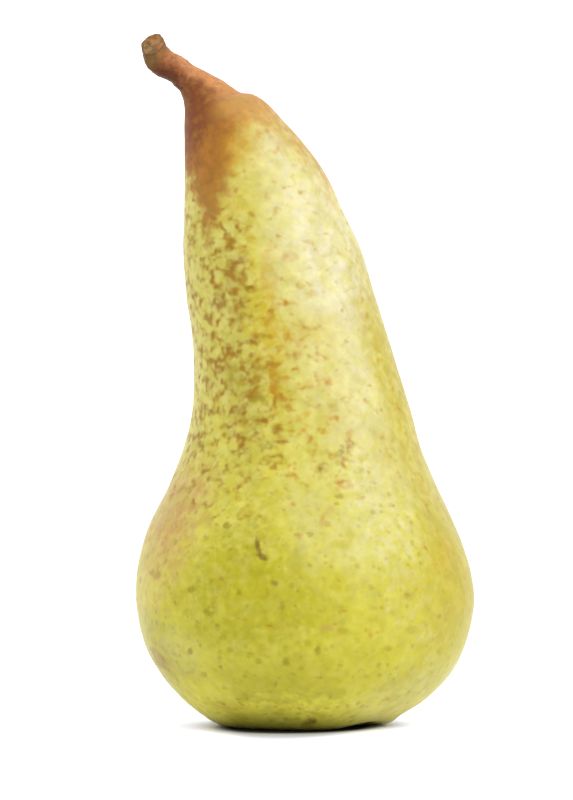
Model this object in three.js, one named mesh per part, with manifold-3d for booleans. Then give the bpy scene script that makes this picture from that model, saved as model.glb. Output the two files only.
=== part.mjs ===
// A long-necked, russeted pear, standing on its blossom end.
//
// Units are millimetres. Z is up, X points to the side away from the lean of the neck, and Y points
// to the back. The origin lies on the standing surface, below the middle of the belly.
//
// The pear is three pieces that grew together: the fruit (skin and flesh), the woody stem, which
// sits in a socket of the fruit, and the dried calyx in the basin underneath.

import * as THREE from "three";
import { mergeVertices } from "three/addons/utils/BufferGeometryUtils.js";
import Module from "manifold-3d";

const wasm = await Module();
wasm.setup();

// ---------------------------------------------------------------- driving dimensions

const REST_INNER = 11.0; // the flat ring that the pear stands on, inner radius
const REST_OUTER = 14.4; // and outer radius
const BASIN_DEPTH = 5.2; // middle of the basin above the standing surface
const GAP = 0.3; // clearance between pieces that touch in the real fruit

const FRUIT_SIDES = 72;
const FRUIT_ROWS_PER_STATION = 2;
const STEM_SIDES = 24;
const STEM_ROWS_PER_STATION = 3;

const STEM_ROOT_LENGTH = 6.0; // how deep the stem sits in the flesh
const STEM_ROOT_RADIUS = 1.7; // at the mouth of the socket
const STEM_ROOT_TIP_RADIUS = 1.1;

const CALYX_CUP_RADIUS = 2.8;
const CALYX_CUP_HEIGHT = 0.9;
const CALYX_PEG_RADIUS = 1.1;
const CALYX_PEG_LENGTH = 3.0;
const SEPAL_COUNT = 5;
const SEPAL_WIDTH = 2.5;
const SEPAL_THICKNESS = 0.75;

// Sections of the fruit, from the middle of the basin up to the joint with the stem. Each section
// is an oval seen edge on: its left end (x, z), its right end (x, z). The sections tilt at the top,
// where the flesh runs out to the side into the stem.
const FRUIT_STATIONS = [
  [[0, BASIN_DEPTH], [0, BASIN_DEPTH]],
  [[-3.2, 5.0], [3.2, 5.0]],
  [[-6.0, 3.5], [6.0, 3.5]],
  [[-8.6, 1.0], [8.6, 1.0]],
  [[-REST_INNER, 0], [REST_INNER, 0]],
  [[-REST_OUTER, 0], [REST_OUTER, 0]],
  [[-17.6, 0.5], [16.8, 0.5]],
  [[-20.8, 2.3], [19.2, 2.3]],
  [[-24.9, 5.6], [24.0, 5.6]],
  [[-29.4, 10.6], [28.9, 10.6]],
  [[-32.8, 17.2], [32.1, 17.2]],
  [[-34.1, 25.0], [33.8, 25.0]],
  [[-33.2, 32.8], [32.7, 32.8]],
  [[-30.8, 40.4], [30.0, 40.4]],
  [[-27.1, 47.8], [26.6, 47.8]],
  [[-24.2, 55.2], [23.6, 55.2]],
  [[-22.6, 62.6], [21.5, 62.6]],
  [[-22.4, 70.2], [19.0, 70.2]],
  [[-22.7, 78.3], [16.5, 78.3]],
  [[-23.8, 86.7], [13.6, 86.7]],
  [[-24.4, 95.0], [11.2, 95.0]],
  [[-24.1, 103.0], [7.6, 103.0]],
  [[-24.0, 110.0], [4.5, 110.0]],
  [[-24.1, 115.5], [0.6, 115.7]],
  [[-24.1, 119.6], [-4.0, 120.9]],
  [[-24.0, 122.0], [-7.6, 124.6]],
  [[-24.0, 123.4], [-10.2, 126.3]],
  [[-24.1, 124.3], [-12.7, 126.7]],
  [[-24.2, 125.1], [-14.5, 127.7]],
  [[-24.3, 125.7], [-16.7, 129.1]],
  [[-24.5, 126.3], [-19.1, 130.3]],
  [[-24.8, 127.0], [-21.4, 131.5]],
];

// Sections of the stem above the joint, in the same form. The last number slides the front of the
// section down along the stem and the back of it up, which gives the oblique cut at the end.
const STEM_STATIONS = [
  [[-25.6, 127.7], [-22.5, 132.1], 0],
  [[-27.1, 129.0], [-23.6, 133.1], 0],
  [[-29.3, 129.8], [-25.0, 134.1], 0],
  [[-31.0, 131.0], [-26.5, 135.0], 0.1],
  [[-32.1, 132.6], [-27.5, 136.0], 0.6],
  [[-32.4, 135.0], [-28.2, 137.6], 1.8],
];

const DEPTH_SHARE = 0.98; // depth of a section over its width
const FOOT_LIFT = 1.7; // how far the flesh between two lobes lifts off the standing surface
const FOOT_LIFT_ANGLE = -0.6; // where it does, to the front on the right
const FOOT_LIFT_SPREAD = 0.42;
const NECK_SET_BACK = 1.3; // how far the neck leans to the back, halfway up
const NECK_LOW = 33;
const NECK_HIGH = 131;
const STEM_FORWARD = 2.6; // how far the end of the stem leans to the front

// ---------------------------------------------------------------- form

// Faint swells of the flesh, and five lobes round the basin, as a factor on the radius.
function fruitRelief(angle, height) {
  const lobes = 0.02 * Math.exp(-((height / 18) ** 2)) * Math.cos(5 * angle + 0.6);
  const swells = 0.006 * Math.sin(3 * angle + 0.09 * height);
  const lean = 0.004 * Math.sin(2 * angle - 0.13 * height + 1.0);
  return 1 + lobes + swells + lean;
}

// The foot is not quite round: it lifts between two lobes, most of all just outside the flat ring.
function footLift(angle, width) {
  const turn = Math.atan2(Math.sin(angle - FOOT_LIFT_ANGLE), Math.cos(angle - FOOT_LIFT_ANGLE));
  const reach = Math.exp(-(((width - REST_OUTER) / 5) ** 2));
  return FOOT_LIFT * Math.exp(-((turn / FOOT_LIFT_SPREAD) ** 2)) * reach;
}

// Shallow ridges along the woody stem, which turns from round to square at its cut end.
function stemRelief(angle, along) {
  const ridges = 0.035 * Math.sin(5 * angle + 2.4 * along);
  const knots = 0.03 * Math.sin(2 * angle + 7.0 * along);
  const square = 0.08 * along ** 3 * Math.cos(4 * angle);
  return 1 + ridges + knots - square;
}

function neckBack(height) {
  const share = THREE.MathUtils.clamp((height - NECK_LOW) / (NECK_HIGH - NECK_LOW), 0, 1);
  return NECK_SET_BACK * Math.sin(Math.PI * share);
}

// One oval ring of points. The angle 0 is the right end of the section, a quarter turn is its back.
function ovalRing(left, right, sides, options) {
  const middle = new THREE.Vector2().addVectors(left, right).multiplyScalar(0.5);
  const half = new THREE.Vector2().subVectors(right, left).multiplyScalar(0.5);
  const along = new THREE.Vector2(-half.y, half.x).normalize();
  const points = [];
  for (let side = 0; side < sides; side += 1) {
    const angle = (2 * Math.PI * side) / sides;
    const swell = options.relief(angle);
    const across = Math.cos(angle) * swell;
    const depth = Math.sin(angle) * swell;
    const slide = options.slant * Math.sin(angle);
    const x = middle.x + half.x * across + along.x * slide;
    const z = middle.y + half.y * across + along.y * slide;
    const y = options.back + half.length() * DEPTH_SHARE * depth;
    points.push(new THREE.Vector3(x, y, z));
  }
  return points;
}

// Closes a stack of rings into one body, with a fan of triangles at each end.
function skinRings(rings) {
  const sides = rings[0].length;
  const points = rings.flat();
  const index = [];
  for (let row = 0; row + 1 < rings.length; row += 1) {
    for (let side = 0; side < sides; side += 1) {
      const a = row * sides + side;
      const b = row * sides + ((side + 1) % sides);
      index.push(a, b, b + sides, a, b + sides, a + sides);
    }
  }
  addFan(points, index, rings[0], 0, false);
  addFan(points, index, rings[rings.length - 1], (rings.length - 1) * sides, true);
  const geometry = new THREE.BufferGeometry().setFromPoints(points);
  geometry.setIndex(index);
  return geometry;
}

function addFan(points, index, ring, first, outward) {
  const sides = ring.length;
  const centre = new THREE.Vector3();
  ring.forEach((point) => centre.addScaledVector(point, 1 / sides));
  const hub = points.push(centre) - 1;
  for (let side = 0; side < sides; side += 1) {
    const a = first + side;
    const b = first + ((side + 1) % sides);
    index.push(...(outward ? [a, b, hub] : [b, a, hub]));
  }
}

// Points at equal steps between the stations of an outline, on a smooth curve through them.
function sampleOutline(corners, rowsPerStation) {
  const curve = new THREE.SplineCurve(corners.map(([x, z]) => new THREE.Vector2(x, z)));
  return curve.getPoints((corners.length - 1) * rowsPerStation);
}

// ---------------------------------------------------------------- solids

function toManifold(geometry) {
  const bare = geometry.clone();
  bare.deleteAttribute("normal");
  bare.deleteAttribute("uv");
  const merged = mergeVertices(bare, 1e-5);
  const corners = merged.index.array;
  const kept = [];
  for (let i = 0; i < corners.length; i += 3) {
    const [a, b, c] = corners.slice(i, i + 3);
    if (a !== b && b !== c && c !== a) kept.push(a, b, c);
  }
  return new wasm.Manifold(
    new wasm.Mesh({
      numProp: 3,
      vertProperties: new Float32Array(merged.attributes.position.array),
      triVerts: new Uint32Array(kept),
    }),
  );
}

function toGeometry(solid) {
  const mesh = solid.getMesh();
  const geometry = new THREE.BufferGeometry();
  geometry.setAttribute("position", new THREE.BufferAttribute(new Float32Array(mesh.vertProperties), 3));
  geometry.setIndex(new THREE.BufferAttribute(new Uint32Array(mesh.triVerts), 1));
  geometry.computeVertexNormals();
  return geometry;
}

// ---------------------------------------------------------------- fruit

function fruitBody() {
  const left = sampleOutline(FRUIT_STATIONS.map(([end]) => end), FRUIT_ROWS_PER_STATION);
  const right = sampleOutline(FRUIT_STATIONS.map(([, end]) => end), FRUIT_ROWS_PER_STATION);
  const rings = left.map((leftEnd, row) => {
    const height = (leftEnd.y + right[row].y) / 2;
    const ring = ovalRing(leftEnd, right[row], FRUIT_SIDES, {
      back: neckBack(height),
      slant: 0,
      relief: (angle) => fruitRelief(angle, height),
    });
    const width = (right[row].x - leftEnd.x) / 2;
    ring.forEach((point, side) => {
      const lift = height < NECK_LOW ? footLift((2 * Math.PI * side) / FRUIT_SIDES, width) : 0;
      point.z = Math.max(0, point.z) + lift;
    });
    return ring;
  });
  return skinRings(rings);
}

// ---------------------------------------------------------------- stem

// The joint: where the last section of the flesh ends, and the way that the stem leaves it.
function joint() {
  const [leftEnd, rightEnd] = FRUIT_STATIONS[FRUIT_STATIONS.length - 1];
  const left = new THREE.Vector2(...leftEnd);
  const right = new THREE.Vector2(...rightEnd);
  const middle = left.clone().add(right).multiplyScalar(0.5);
  const half = right.clone().sub(left).multiplyScalar(0.5);
  const outward = new THREE.Vector2(-half.y, half.x).normalize();
  return { left, right, middle, half, outward };
}

// A round ring on the axis of the joint, measured outward from the end face of the flesh.
function rootRing(distance, radius) {
  const { middle, half, outward } = joint();
  const centre = middle.clone().addScaledVector(outward, distance);
  const reach = half.clone().setLength(radius);
  const left = centre.clone().sub(reach);
  const right = centre.clone().add(reach);
  return ovalRing(left, right, STEM_SIDES, { back: 0, slant: 0, relief: () => 1 });
}

function rootRings(clearance, mouth) {
  return [
    rootRing(-STEM_ROOT_LENGTH - clearance, STEM_ROOT_TIP_RADIUS * 0.5 + clearance),
    rootRing(-STEM_ROOT_LENGTH * 0.93 - clearance, STEM_ROOT_TIP_RADIUS * 0.9 + clearance),
    rootRing(-STEM_ROOT_LENGTH * 0.6, STEM_ROOT_TIP_RADIUS + 0.2 + clearance),
    rootRing(mouth, STEM_ROOT_RADIUS + clearance),
  ];
}

function stalkRings() {
  const { left, right, outward } = joint();
  const shift = outward.clone().multiplyScalar(GAP);
  const first = [left.clone().add(shift).toArray(), right.clone().add(shift).toArray(), 0];
  const stations = [first, ...STEM_STATIONS];
  const leftEnds = sampleOutline(stations.map(([end]) => end), STEM_ROWS_PER_STATION);
  const rightEnds = sampleOutline(stations.map(([, end]) => end), STEM_ROWS_PER_STATION);
  const slants = sampleOutline(stations.map(([, , slant], i) => [i, slant]), STEM_ROWS_PER_STATION);
  return leftEnds.map((leftEnd, row) => {
    const share = row / (leftEnds.length - 1);
    return ovalRing(leftEnd, rightEnds[row], STEM_SIDES, {
      back: -STEM_FORWARD * share ** 1.5,
      slant: slants[row].y,
      relief: (angle) => 1 + (stemRelief(angle, share) - 1) * Math.min(1, 4 * share),
    });
  });
}

function stemBody() {
  return skinRings([...rootRings(0, GAP), ...stalkRings()]);
}

// What the stem's root takes out of the flesh, with clearance all round.
function stemSocket() {
  return skinRings(rootRings(GAP, 1.5));
}

// ---------------------------------------------------------------- calyx

// The cup hangs under the middle of the basin, with a peg that reaches up into the flesh.
function calyxCup() {
  const top = BASIN_DEPTH - GAP - 0.2;
  const bottom = top - CALYX_CUP_HEIGHT;
  const eye = CALYX_CUP_RADIUS * 0.45;
  const profile = [
    [0, bottom + 0.35],
    [eye * 0.8, bottom + 0.3],
    [eye, bottom],
    [CALYX_CUP_RADIUS * 0.8, bottom - 0.05],
    [CALYX_CUP_RADIUS, bottom + 0.4],
    [CALYX_CUP_RADIUS * 0.9, top],
    [CALYX_PEG_RADIUS, top],
    [CALYX_PEG_RADIUS, top + CALYX_PEG_LENGTH],
    [0, top + CALYX_PEG_LENGTH + 0.3],
  ];
  const lathe = new THREE.LatheGeometry(profile.map(([r, z]) => new THREE.Vector2(r, z)), 20);
  return lathe.rotateX(Math.PI / 2);
}

function calyxHole() {
  const top = BASIN_DEPTH + CALYX_PEG_LENGTH + 0.5;
  const profile = [
    [0, 1],
    [CALYX_PEG_RADIUS + GAP, 1],
    [CALYX_PEG_RADIUS + GAP, top - 0.3],
    [0, top],
  ];
  const lathe = new THREE.LatheGeometry(profile.map(([r, z]) => new THREE.Vector2(r, z)), 20);
  return lathe.rotateX(Math.PI / 2);
}

// One dried sepal, from the cup outward, thin and pointed, with its tip curled.
function sepal(curl, reach) {
  const path = new THREE.CatmullRomCurve3([
    new THREE.Vector3(1.7, 0, 4.1),
    new THREE.Vector3(2.9, 0, 3.5),
    new THREE.Vector3(3.9 + reach, 0, 3.1 - curl * 0.3),
    new THREE.Vector3(4.9 + reach, 0, 2.9 - curl),
  ]);
  const rows = 7;
  const sides = 8;
  const rings = [];
  for (let row = 0; row <= rows; row += 1) {
    const share = row / rows;
    const centre = path.getPoint(share);
    const ahead = path.getTangent(share);
    const width = SEPAL_WIDTH * 0.5 * (1 - 0.72 * share ** 1.6);
    const thickness = SEPAL_THICKNESS * 0.5;
    const ring = [];
    for (let side = 0; side < sides; side += 1) {
      const angle = (2 * Math.PI * side) / sides;
      const rise = Math.sin(angle) * thickness;
      const across = Math.cos(angle) * width;
      ring.push(new THREE.Vector3(centre.x - ahead.z * rise, across, centre.z + ahead.x * rise));
    }
    rings.push(ring);
  }
  return skinRings(rings);
}

function calyxBody() {
  let body = toManifold(calyxCup());
  for (let i = 0; i < SEPAL_COUNT; i += 1) {
    const curl = 0.35 * Math.sin(2.3 * i + 0.4);
    const reach = 0.3 * Math.cos(3.1 * i);
    const turn = (2 * Math.PI * i) / SEPAL_COUNT + 0.12 * Math.sin(4.1 * i);
    body = body.add(toManifold(sepal(curl, reach).rotateZ(turn)));
  }
  return toGeometry(body);
}

// ---------------------------------------------------------------- the part

function piece(name, geometry, color, roughness) {
  const material = new THREE.MeshStandardMaterial({ color, roughness, metalness: 0 });
  const mesh = new THREE.Mesh(geometry, material);
  mesh.name = name;
  return mesh;
}

function fruitGeometry() {
  const flesh = toManifold(fruitBody());
  const hollowed = flesh.subtract(toManifold(stemSocket())).subtract(toManifold(calyxHole()));
  return toGeometry(hollowed);
}

const pear = new THREE.Group();
pear.add(piece("fruit", fruitGeometry(), 0xd6cf63, 0.45));
pear.add(piece("stem", toGeometry(toManifold(stemBody())), 0x8a5c34, 0.8));
pear.add(piece("calyx", calyxBody(), 0x4a3826, 0.9));

export default pear;
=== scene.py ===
"""A long-necked, russeted pear that stands on a pale studio floor.

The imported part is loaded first, as a fixed frame. The fruit, its woody stem and the dried calyx in
the basin underneath are then built round it as fine meshes, in the same frame: Z is up, X points to
the side away from the lean of the neck, and Y points to the back.

Tables and fields that hold sizes of the fruit are in millimetres. MM turns them into metres.
"""

import logging
import math
from dataclasses import dataclass, field
from enum import Enum

import bpy
import numpy as np
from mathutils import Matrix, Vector, noise


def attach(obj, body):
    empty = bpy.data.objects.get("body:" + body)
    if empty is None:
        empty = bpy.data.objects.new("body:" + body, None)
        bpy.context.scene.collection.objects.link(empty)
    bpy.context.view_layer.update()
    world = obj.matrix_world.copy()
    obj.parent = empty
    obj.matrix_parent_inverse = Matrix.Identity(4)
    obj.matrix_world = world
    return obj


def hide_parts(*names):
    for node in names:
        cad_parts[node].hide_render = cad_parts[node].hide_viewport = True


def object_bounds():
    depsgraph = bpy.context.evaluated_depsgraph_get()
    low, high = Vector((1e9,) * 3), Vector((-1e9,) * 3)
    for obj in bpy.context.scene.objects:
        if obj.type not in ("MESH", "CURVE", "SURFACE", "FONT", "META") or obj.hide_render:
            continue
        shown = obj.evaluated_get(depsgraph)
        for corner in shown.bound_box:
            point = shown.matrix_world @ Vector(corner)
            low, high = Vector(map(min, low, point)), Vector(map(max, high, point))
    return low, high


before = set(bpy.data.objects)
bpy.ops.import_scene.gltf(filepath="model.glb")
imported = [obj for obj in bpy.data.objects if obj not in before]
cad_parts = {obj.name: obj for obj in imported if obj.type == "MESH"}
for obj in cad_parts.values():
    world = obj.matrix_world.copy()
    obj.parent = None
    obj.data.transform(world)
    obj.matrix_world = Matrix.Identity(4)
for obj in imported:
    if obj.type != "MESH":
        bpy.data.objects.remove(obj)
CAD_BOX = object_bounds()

LOG = logging.getLogger("pear")

MM = 0.001
BODY = "root"
BAKE_MAP = "OFBake"

Point = tuple[float, float]
Span = tuple[float, float]
Triple = tuple[float, float, float]
Colour = tuple[float, float, float, float]
Socket = bpy.types.NodeSocket


def srgb(red: float, green: float, blue: float) -> Colour:
    """Turn a colour as seen on a screen into the linear colour that a shader needs.

    Args:
        red: Red, from 0 to 255.
        green: Green, from 0 to 255.
        blue: Blue, from 0 to 255.

    Returns:
        The linear red, green, blue and an alpha of 1.
    """
    linear = [
        part / 12.92 if part <= 0.04045 else ((part + 0.055) / 1.055) ** 2.4
        for part in (red / 255, green / 255, blue / 255)
    ]
    return (linear[0], linear[1], linear[2], 1.0)


# ---------------------------------------------------------------------------- outline

@dataclass(frozen=True)
class Section:
    """An oval section of a lofted body, seen edge on, in millimetres.

    Attributes:
        left: The (x, z) of its left end.
        right: The (x, z) of its right end.
        slant: How far its back slides up along the body, and its front down.
    """

    left: Point
    right: Point
    slant: float = 0.0


REST_INNER = 11.0
REST_OUTER = 14.4
BASIN_DEPTH = 5.2

# From the middle of the basin up to the joint with the stem.
FRUIT_SECTIONS = (
    Section((0, BASIN_DEPTH), (0, BASIN_DEPTH)),
    Section((-3.2, 5.0), (3.2, 5.0)),
    Section((-6.0, 3.5), (6.0, 3.5)),
    Section((-8.6, 1.0), (8.6, 1.0)),
    Section((-REST_INNER, 0), (REST_INNER, 0)),
    Section((-REST_OUTER, 0), (REST_OUTER, 0)),
    Section((-17.6, 0.5), (16.8, 0.5)),
    Section((-20.8, 2.3), (19.2, 2.3)),
    Section((-24.9, 5.6), (24.0, 5.6)),
    Section((-29.4, 10.6), (28.9, 10.6)),
    Section((-32.8, 17.2), (32.1, 17.2)),
    Section((-34.1, 25.0), (33.8, 25.0)),
    Section((-33.2, 32.8), (32.7, 32.8)),
    Section((-30.8, 40.4), (30.0, 40.4)),
    Section((-27.1, 47.8), (26.6, 47.8)),
    Section((-24.2, 55.2), (23.6, 55.2)),
    Section((-22.6, 62.6), (21.5, 62.6)),
    Section((-22.4, 70.2), (19.0, 70.2)),
    Section((-22.7, 78.3), (16.5, 78.3)),
    Section((-23.8, 86.7), (13.6, 86.7)),
    Section((-24.4, 95.0), (11.2, 95.0)),
    Section((-24.1, 103.0), (7.6, 103.0)),
    Section((-24.0, 110.0), (4.5, 110.0)),
    Section((-24.1, 115.5), (0.6, 115.7)),
    Section((-24.1, 119.6), (-4.0, 120.9)),
    Section((-24.0, 122.0), (-7.6, 124.6)),
    Section((-24.0, 123.4), (-10.2, 126.3)),
    Section((-24.1, 124.3), (-12.7, 126.7)),
    Section((-24.2, 125.1), (-14.5, 127.7)),
    Section((-24.3, 125.7), (-16.7, 129.1)),
    Section((-24.5, 126.3), (-19.1, 130.3)),
    Section((-24.8, 127.0), (-21.4, 131.5)),
)

# From the joint up to the cut end.
STEM_SECTIONS = (
    Section((-24.8, 127.0), (-21.4, 131.5)),
    Section((-25.6, 127.7), (-22.5, 132.1)),
    Section((-27.1, 129.0), (-23.6, 133.1)),
    Section((-29.3, 129.8), (-25.0, 134.1)),
    Section((-31.0, 131.0), (-26.5, 135.0), 0.1),
    Section((-32.1, 132.6), (-27.5, 136.0), 0.6),
    Section((-32.4, 135.0), (-28.2, 137.6), 1.8),
)

# How deep a section is, as a share of its width, and where the neck and the stem leave the middle.
DEPTH_SHARE = 0.98
NECK_SET_BACK = 1.3
NECK_LOW = 33.0
NECK_HIGH = 131.0
STEM_FORWARD = 2.6

# The foot's edge stands a little off the ground at one side: how high, and how far round and out.
FOOT_LIFT = 1.3
FOOT_LIFT_ANGLE = -0.6
FOOT_LIFT_SPREAD = 0.42
FOOT_LIFT_REACH = 5.0


def smooth_curve(corners: np.ndarray, steps: int) -> np.ndarray:
    """Put points at equal steps on the smooth curve through a row of corners.

    Args:
        corners: The corners, one row each.
        steps: How many steps lie between two corners.

    Returns:
        The points, with the corners among them.
    """
    last = len(corners) - 1
    at = np.linspace(0, last, last * steps + 1)
    first = np.minimum(at.astype(int), last - 1)
    share = (at - first)[:, None]
    before, start, end, after = (corners[np.clip(first + k, 0, last)] for k in (-1, 0, 1, 2))
    pull_in = (end - before) / 2
    pull_out = (after - start) / 2
    cubic = 2 * start - 2 * end + pull_in + pull_out
    square = 3 * end - 3 * start - 2 * pull_in - pull_out
    return ((cubic * share + square) * share + pull_in) * share + start


QUARTER = math.pi / 2


@dataclass(frozen=True)
class Wave:
    """A wave round a body, which may wind along it.

    Attributes:
        height: Its height, as a share of the radius.
        crests: How many crests it has round the body.
        climb: How far it turns on along the body, in radians.
        start: How far it is turned on at the start, in radians.
    """

    height: float
    crests: int
    climb: float = 0.0
    start: float = 0.0

    def at(self, angle: np.ndarray, along: np.ndarray | float = 0.0) -> np.ndarray:
        """Return the wave at angles round the body and places along it."""
        return self.height * np.cos(self.crests * angle + self.climb * along + self.start)


# The folds where flesh and stem meet, and how many sections below the joint they start.
JOINT_FOLDS = (Wave(0.05, 4, start=0.9), Wave(0.03, 9, start=-0.4))
JOINT_SECTIONS = 4


def joint_folds(angle: np.ndarray) -> np.ndarray:
    """Return the folds that gather the flesh into the stem, as a change of the radius factor."""
    return sum(fold.at(angle) for fold in JOINT_FOLDS)


def round_angles(sides: int) -> np.ndarray:
    """Return the angle of each point of a ring, from 0 at its right end."""
    return 2 * np.pi * np.arange(sides) / sides


def ease(value: np.ndarray | float, low: float, high: float) -> np.ndarray | float:
    """Rise smoothly from 0 at low to 1 at high."""
    share = np.clip((value - low) / (high - low), 0, 1)
    return share * share * (3 - 2 * share)


@dataclass
class Rings:
    """A stack of oval rings of points, which a loft skins over.

    Attributes:
        left: The left ends of the rings, one (x, z) a row, in millimetres.
        right: The right ends, likewise.
        angle: The angle of each point of a ring: 0 at its right end, a quarter turn at its back.
    """

    left: np.ndarray
    right: np.ndarray
    angle: np.ndarray

    @classmethod
    def through(cls, sections: tuple[Section, ...], steps: int, sides: int) -> "Rings":
        """Lay rings through a row of sections.

        Args:
            sections: The sections, in order.
            steps: How many steps lie between two of them.
            sides: How many points a ring has.

        Returns:
            The rings.
        """
        left = smooth_curve(np.array([part.left for part in sections], float), steps)
        right = smooth_curve(np.array([part.right for part in sections], float), steps)
        return cls(left, right, round_angles(sides))

    @property
    def height(self) -> np.ndarray:
        """Return the height of each ring's middle."""
        return (self.left[:, 1] + self.right[:, 1]) / 2

    def points(self, relief: np.ndarray, back: np.ndarray, slant: np.ndarray) -> np.ndarray:
        """Place the points of all the rings.

        Args:
            relief: A factor on the radius, for each ring and angle.
            back: How far each ring stands to the back.
            slant: How far each ring's back slides up along the body.

        Returns:
            An array of rings, points and x, y, z, in millimetres.
        """
        middle = (self.left + self.right)[:, None] / 2
        half = (self.right - self.left)[:, None] / 2
        size = np.linalg.norm(half, axis=2)
        along = np.stack([-half[..., 1], half[..., 0]], 2) / np.maximum(size, 1e-6)[..., None]
        across = np.cos(self.angle)[None] * relief
        slide = np.sin(self.angle)[None] * slant[:, None]
        flat = middle + half * across[..., None] + along * slide[..., None]
        depth = back[:, None] + size * DEPTH_SHARE * np.sin(self.angle)[None] * relief
        return np.stack([flat[..., 0], depth, flat[..., 1]], 2)


def loft_mesh(name: str, rings: np.ndarray) -> bpy.types.Object:
    """Skin a stack of rings into one closed body, and give it the map that a bake uses.

    Args:
        name: The name of the new piece.
        rings: Rings, points and x, y, z, in millimetres.

    Returns:
        The new piece, in metres.
    """
    rows, sides = rings.shape[:2]
    hubs = np.stack([rings[0].mean(0), rings[-1].mean(0)])
    points = np.clip(np.concatenate([rings.reshape(-1, 3), hubs]) * MM, CAD_BOX[0], CAD_BOX[1])
    steps = np.linalg.norm(np.diff(rings, axis=0), axis=2).mean(1)
    ends = [np.linalg.norm(rings[k] - hub, axis=1).mean() for k, hub in zip((0, -1), hubs)]
    level = np.cumsum([ends[0], *steps])
    level = np.concatenate([[0], level, [level[-1] + ends[1]]]) / (level[-1] + ends[1])

    faces: list[tuple[int, ...]] = []
    places: list[Point] = []
    for side in range(sides):
        after = (side + 1) % sides
        left, right = side / sides, (side + 1) / sides
        faces.append((after, side, rows * sides))
        places += [(right, level[1]), (left, level[1]), ((left + right) / 2, 0.0)]
        for row in range(rows - 1):
            low, high = row * sides, (row + 1) * sides
            faces.append((low + side, low + after, high + after, high + side))
            below, above = level[row + 1], level[row + 2]
            places += [(left, below), (right, below), (right, above), (left, above)]
        top = (rows - 1) * sides
        faces.append((top + side, top + after, rows * sides + 1))
        places += [(left, level[-2]), (right, level[-2]), ((left + right) / 2, 1.0)]

    mesh = bpy.data.meshes.new(name)
    mesh.from_pydata(points.tolist(), [], faces)
    mesh.uv_layers.new(name=BAKE_MAP).data.foreach_set("uv", np.array(places, np.float32).ravel())
    mesh.shade_smooth()
    piece = bpy.data.objects.new(name, mesh)
    bpy.context.scene.collection.objects.link(piece)
    return piece


TILE_FILL = 0.96


def move_to_tile(piece: bpy.types.Object, index: int, across: int) -> None:
    """Shrink a piece's map into one square of a grid, for a piece that is joined to others.

    Args:
        piece: The piece.
        index: Which square it takes.
        across: How many squares the grid has each way.
    """
    layer = piece.data.uv_layers[BAKE_MAP].data
    places = np.empty(2 * len(layer), np.float32)
    layer.foreach_get("uv", places)
    corner = np.array([index % across, index // across]) + (1 - TILE_FILL) / 2
    places = (places.reshape(-1, 2) * TILE_FILL + corner) / across
    layer.foreach_set("uv", places.ravel().astype(np.float32))


def add_values(piece: bpy.types.Object, name: str, values: np.ndarray, hub: float) -> None:
    """Give every point of a lofted piece a value that its material can read.

    Args:
        piece: The piece.
        name: The name of the values.
        values: A value for each point of its rings.
        hub: The value at the middle of both ends.
    """
    layer = piece.data.attributes.new(name, "FLOAT", "POINT")
    layer.data.foreach_set("value", np.append(values, [hub, hub]).astype(np.float32))


def lumps(rings: np.ndarray, size: float, seed: float) -> np.ndarray:
    """Read smooth, seeded lumps at every point of a stack of rings.

    Args:
        rings: Rings, points and x, y, z, in millimetres.
        size: How far apart the lumps are, in millimetres.
        seed: Picks other lumps of the same kind.

    Returns:
        A value from about -1 to 1 for each point.
    """
    shift = Vector((seed, 1.7 * seed, -seed))
    flat = [noise.noise(Vector(place) / size + shift) for place in rings.reshape(-1, 3)]
    return np.array(flat).reshape(rings.shape[:2])


# ---------------------------------------------------------------------------- shader tools

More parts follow.
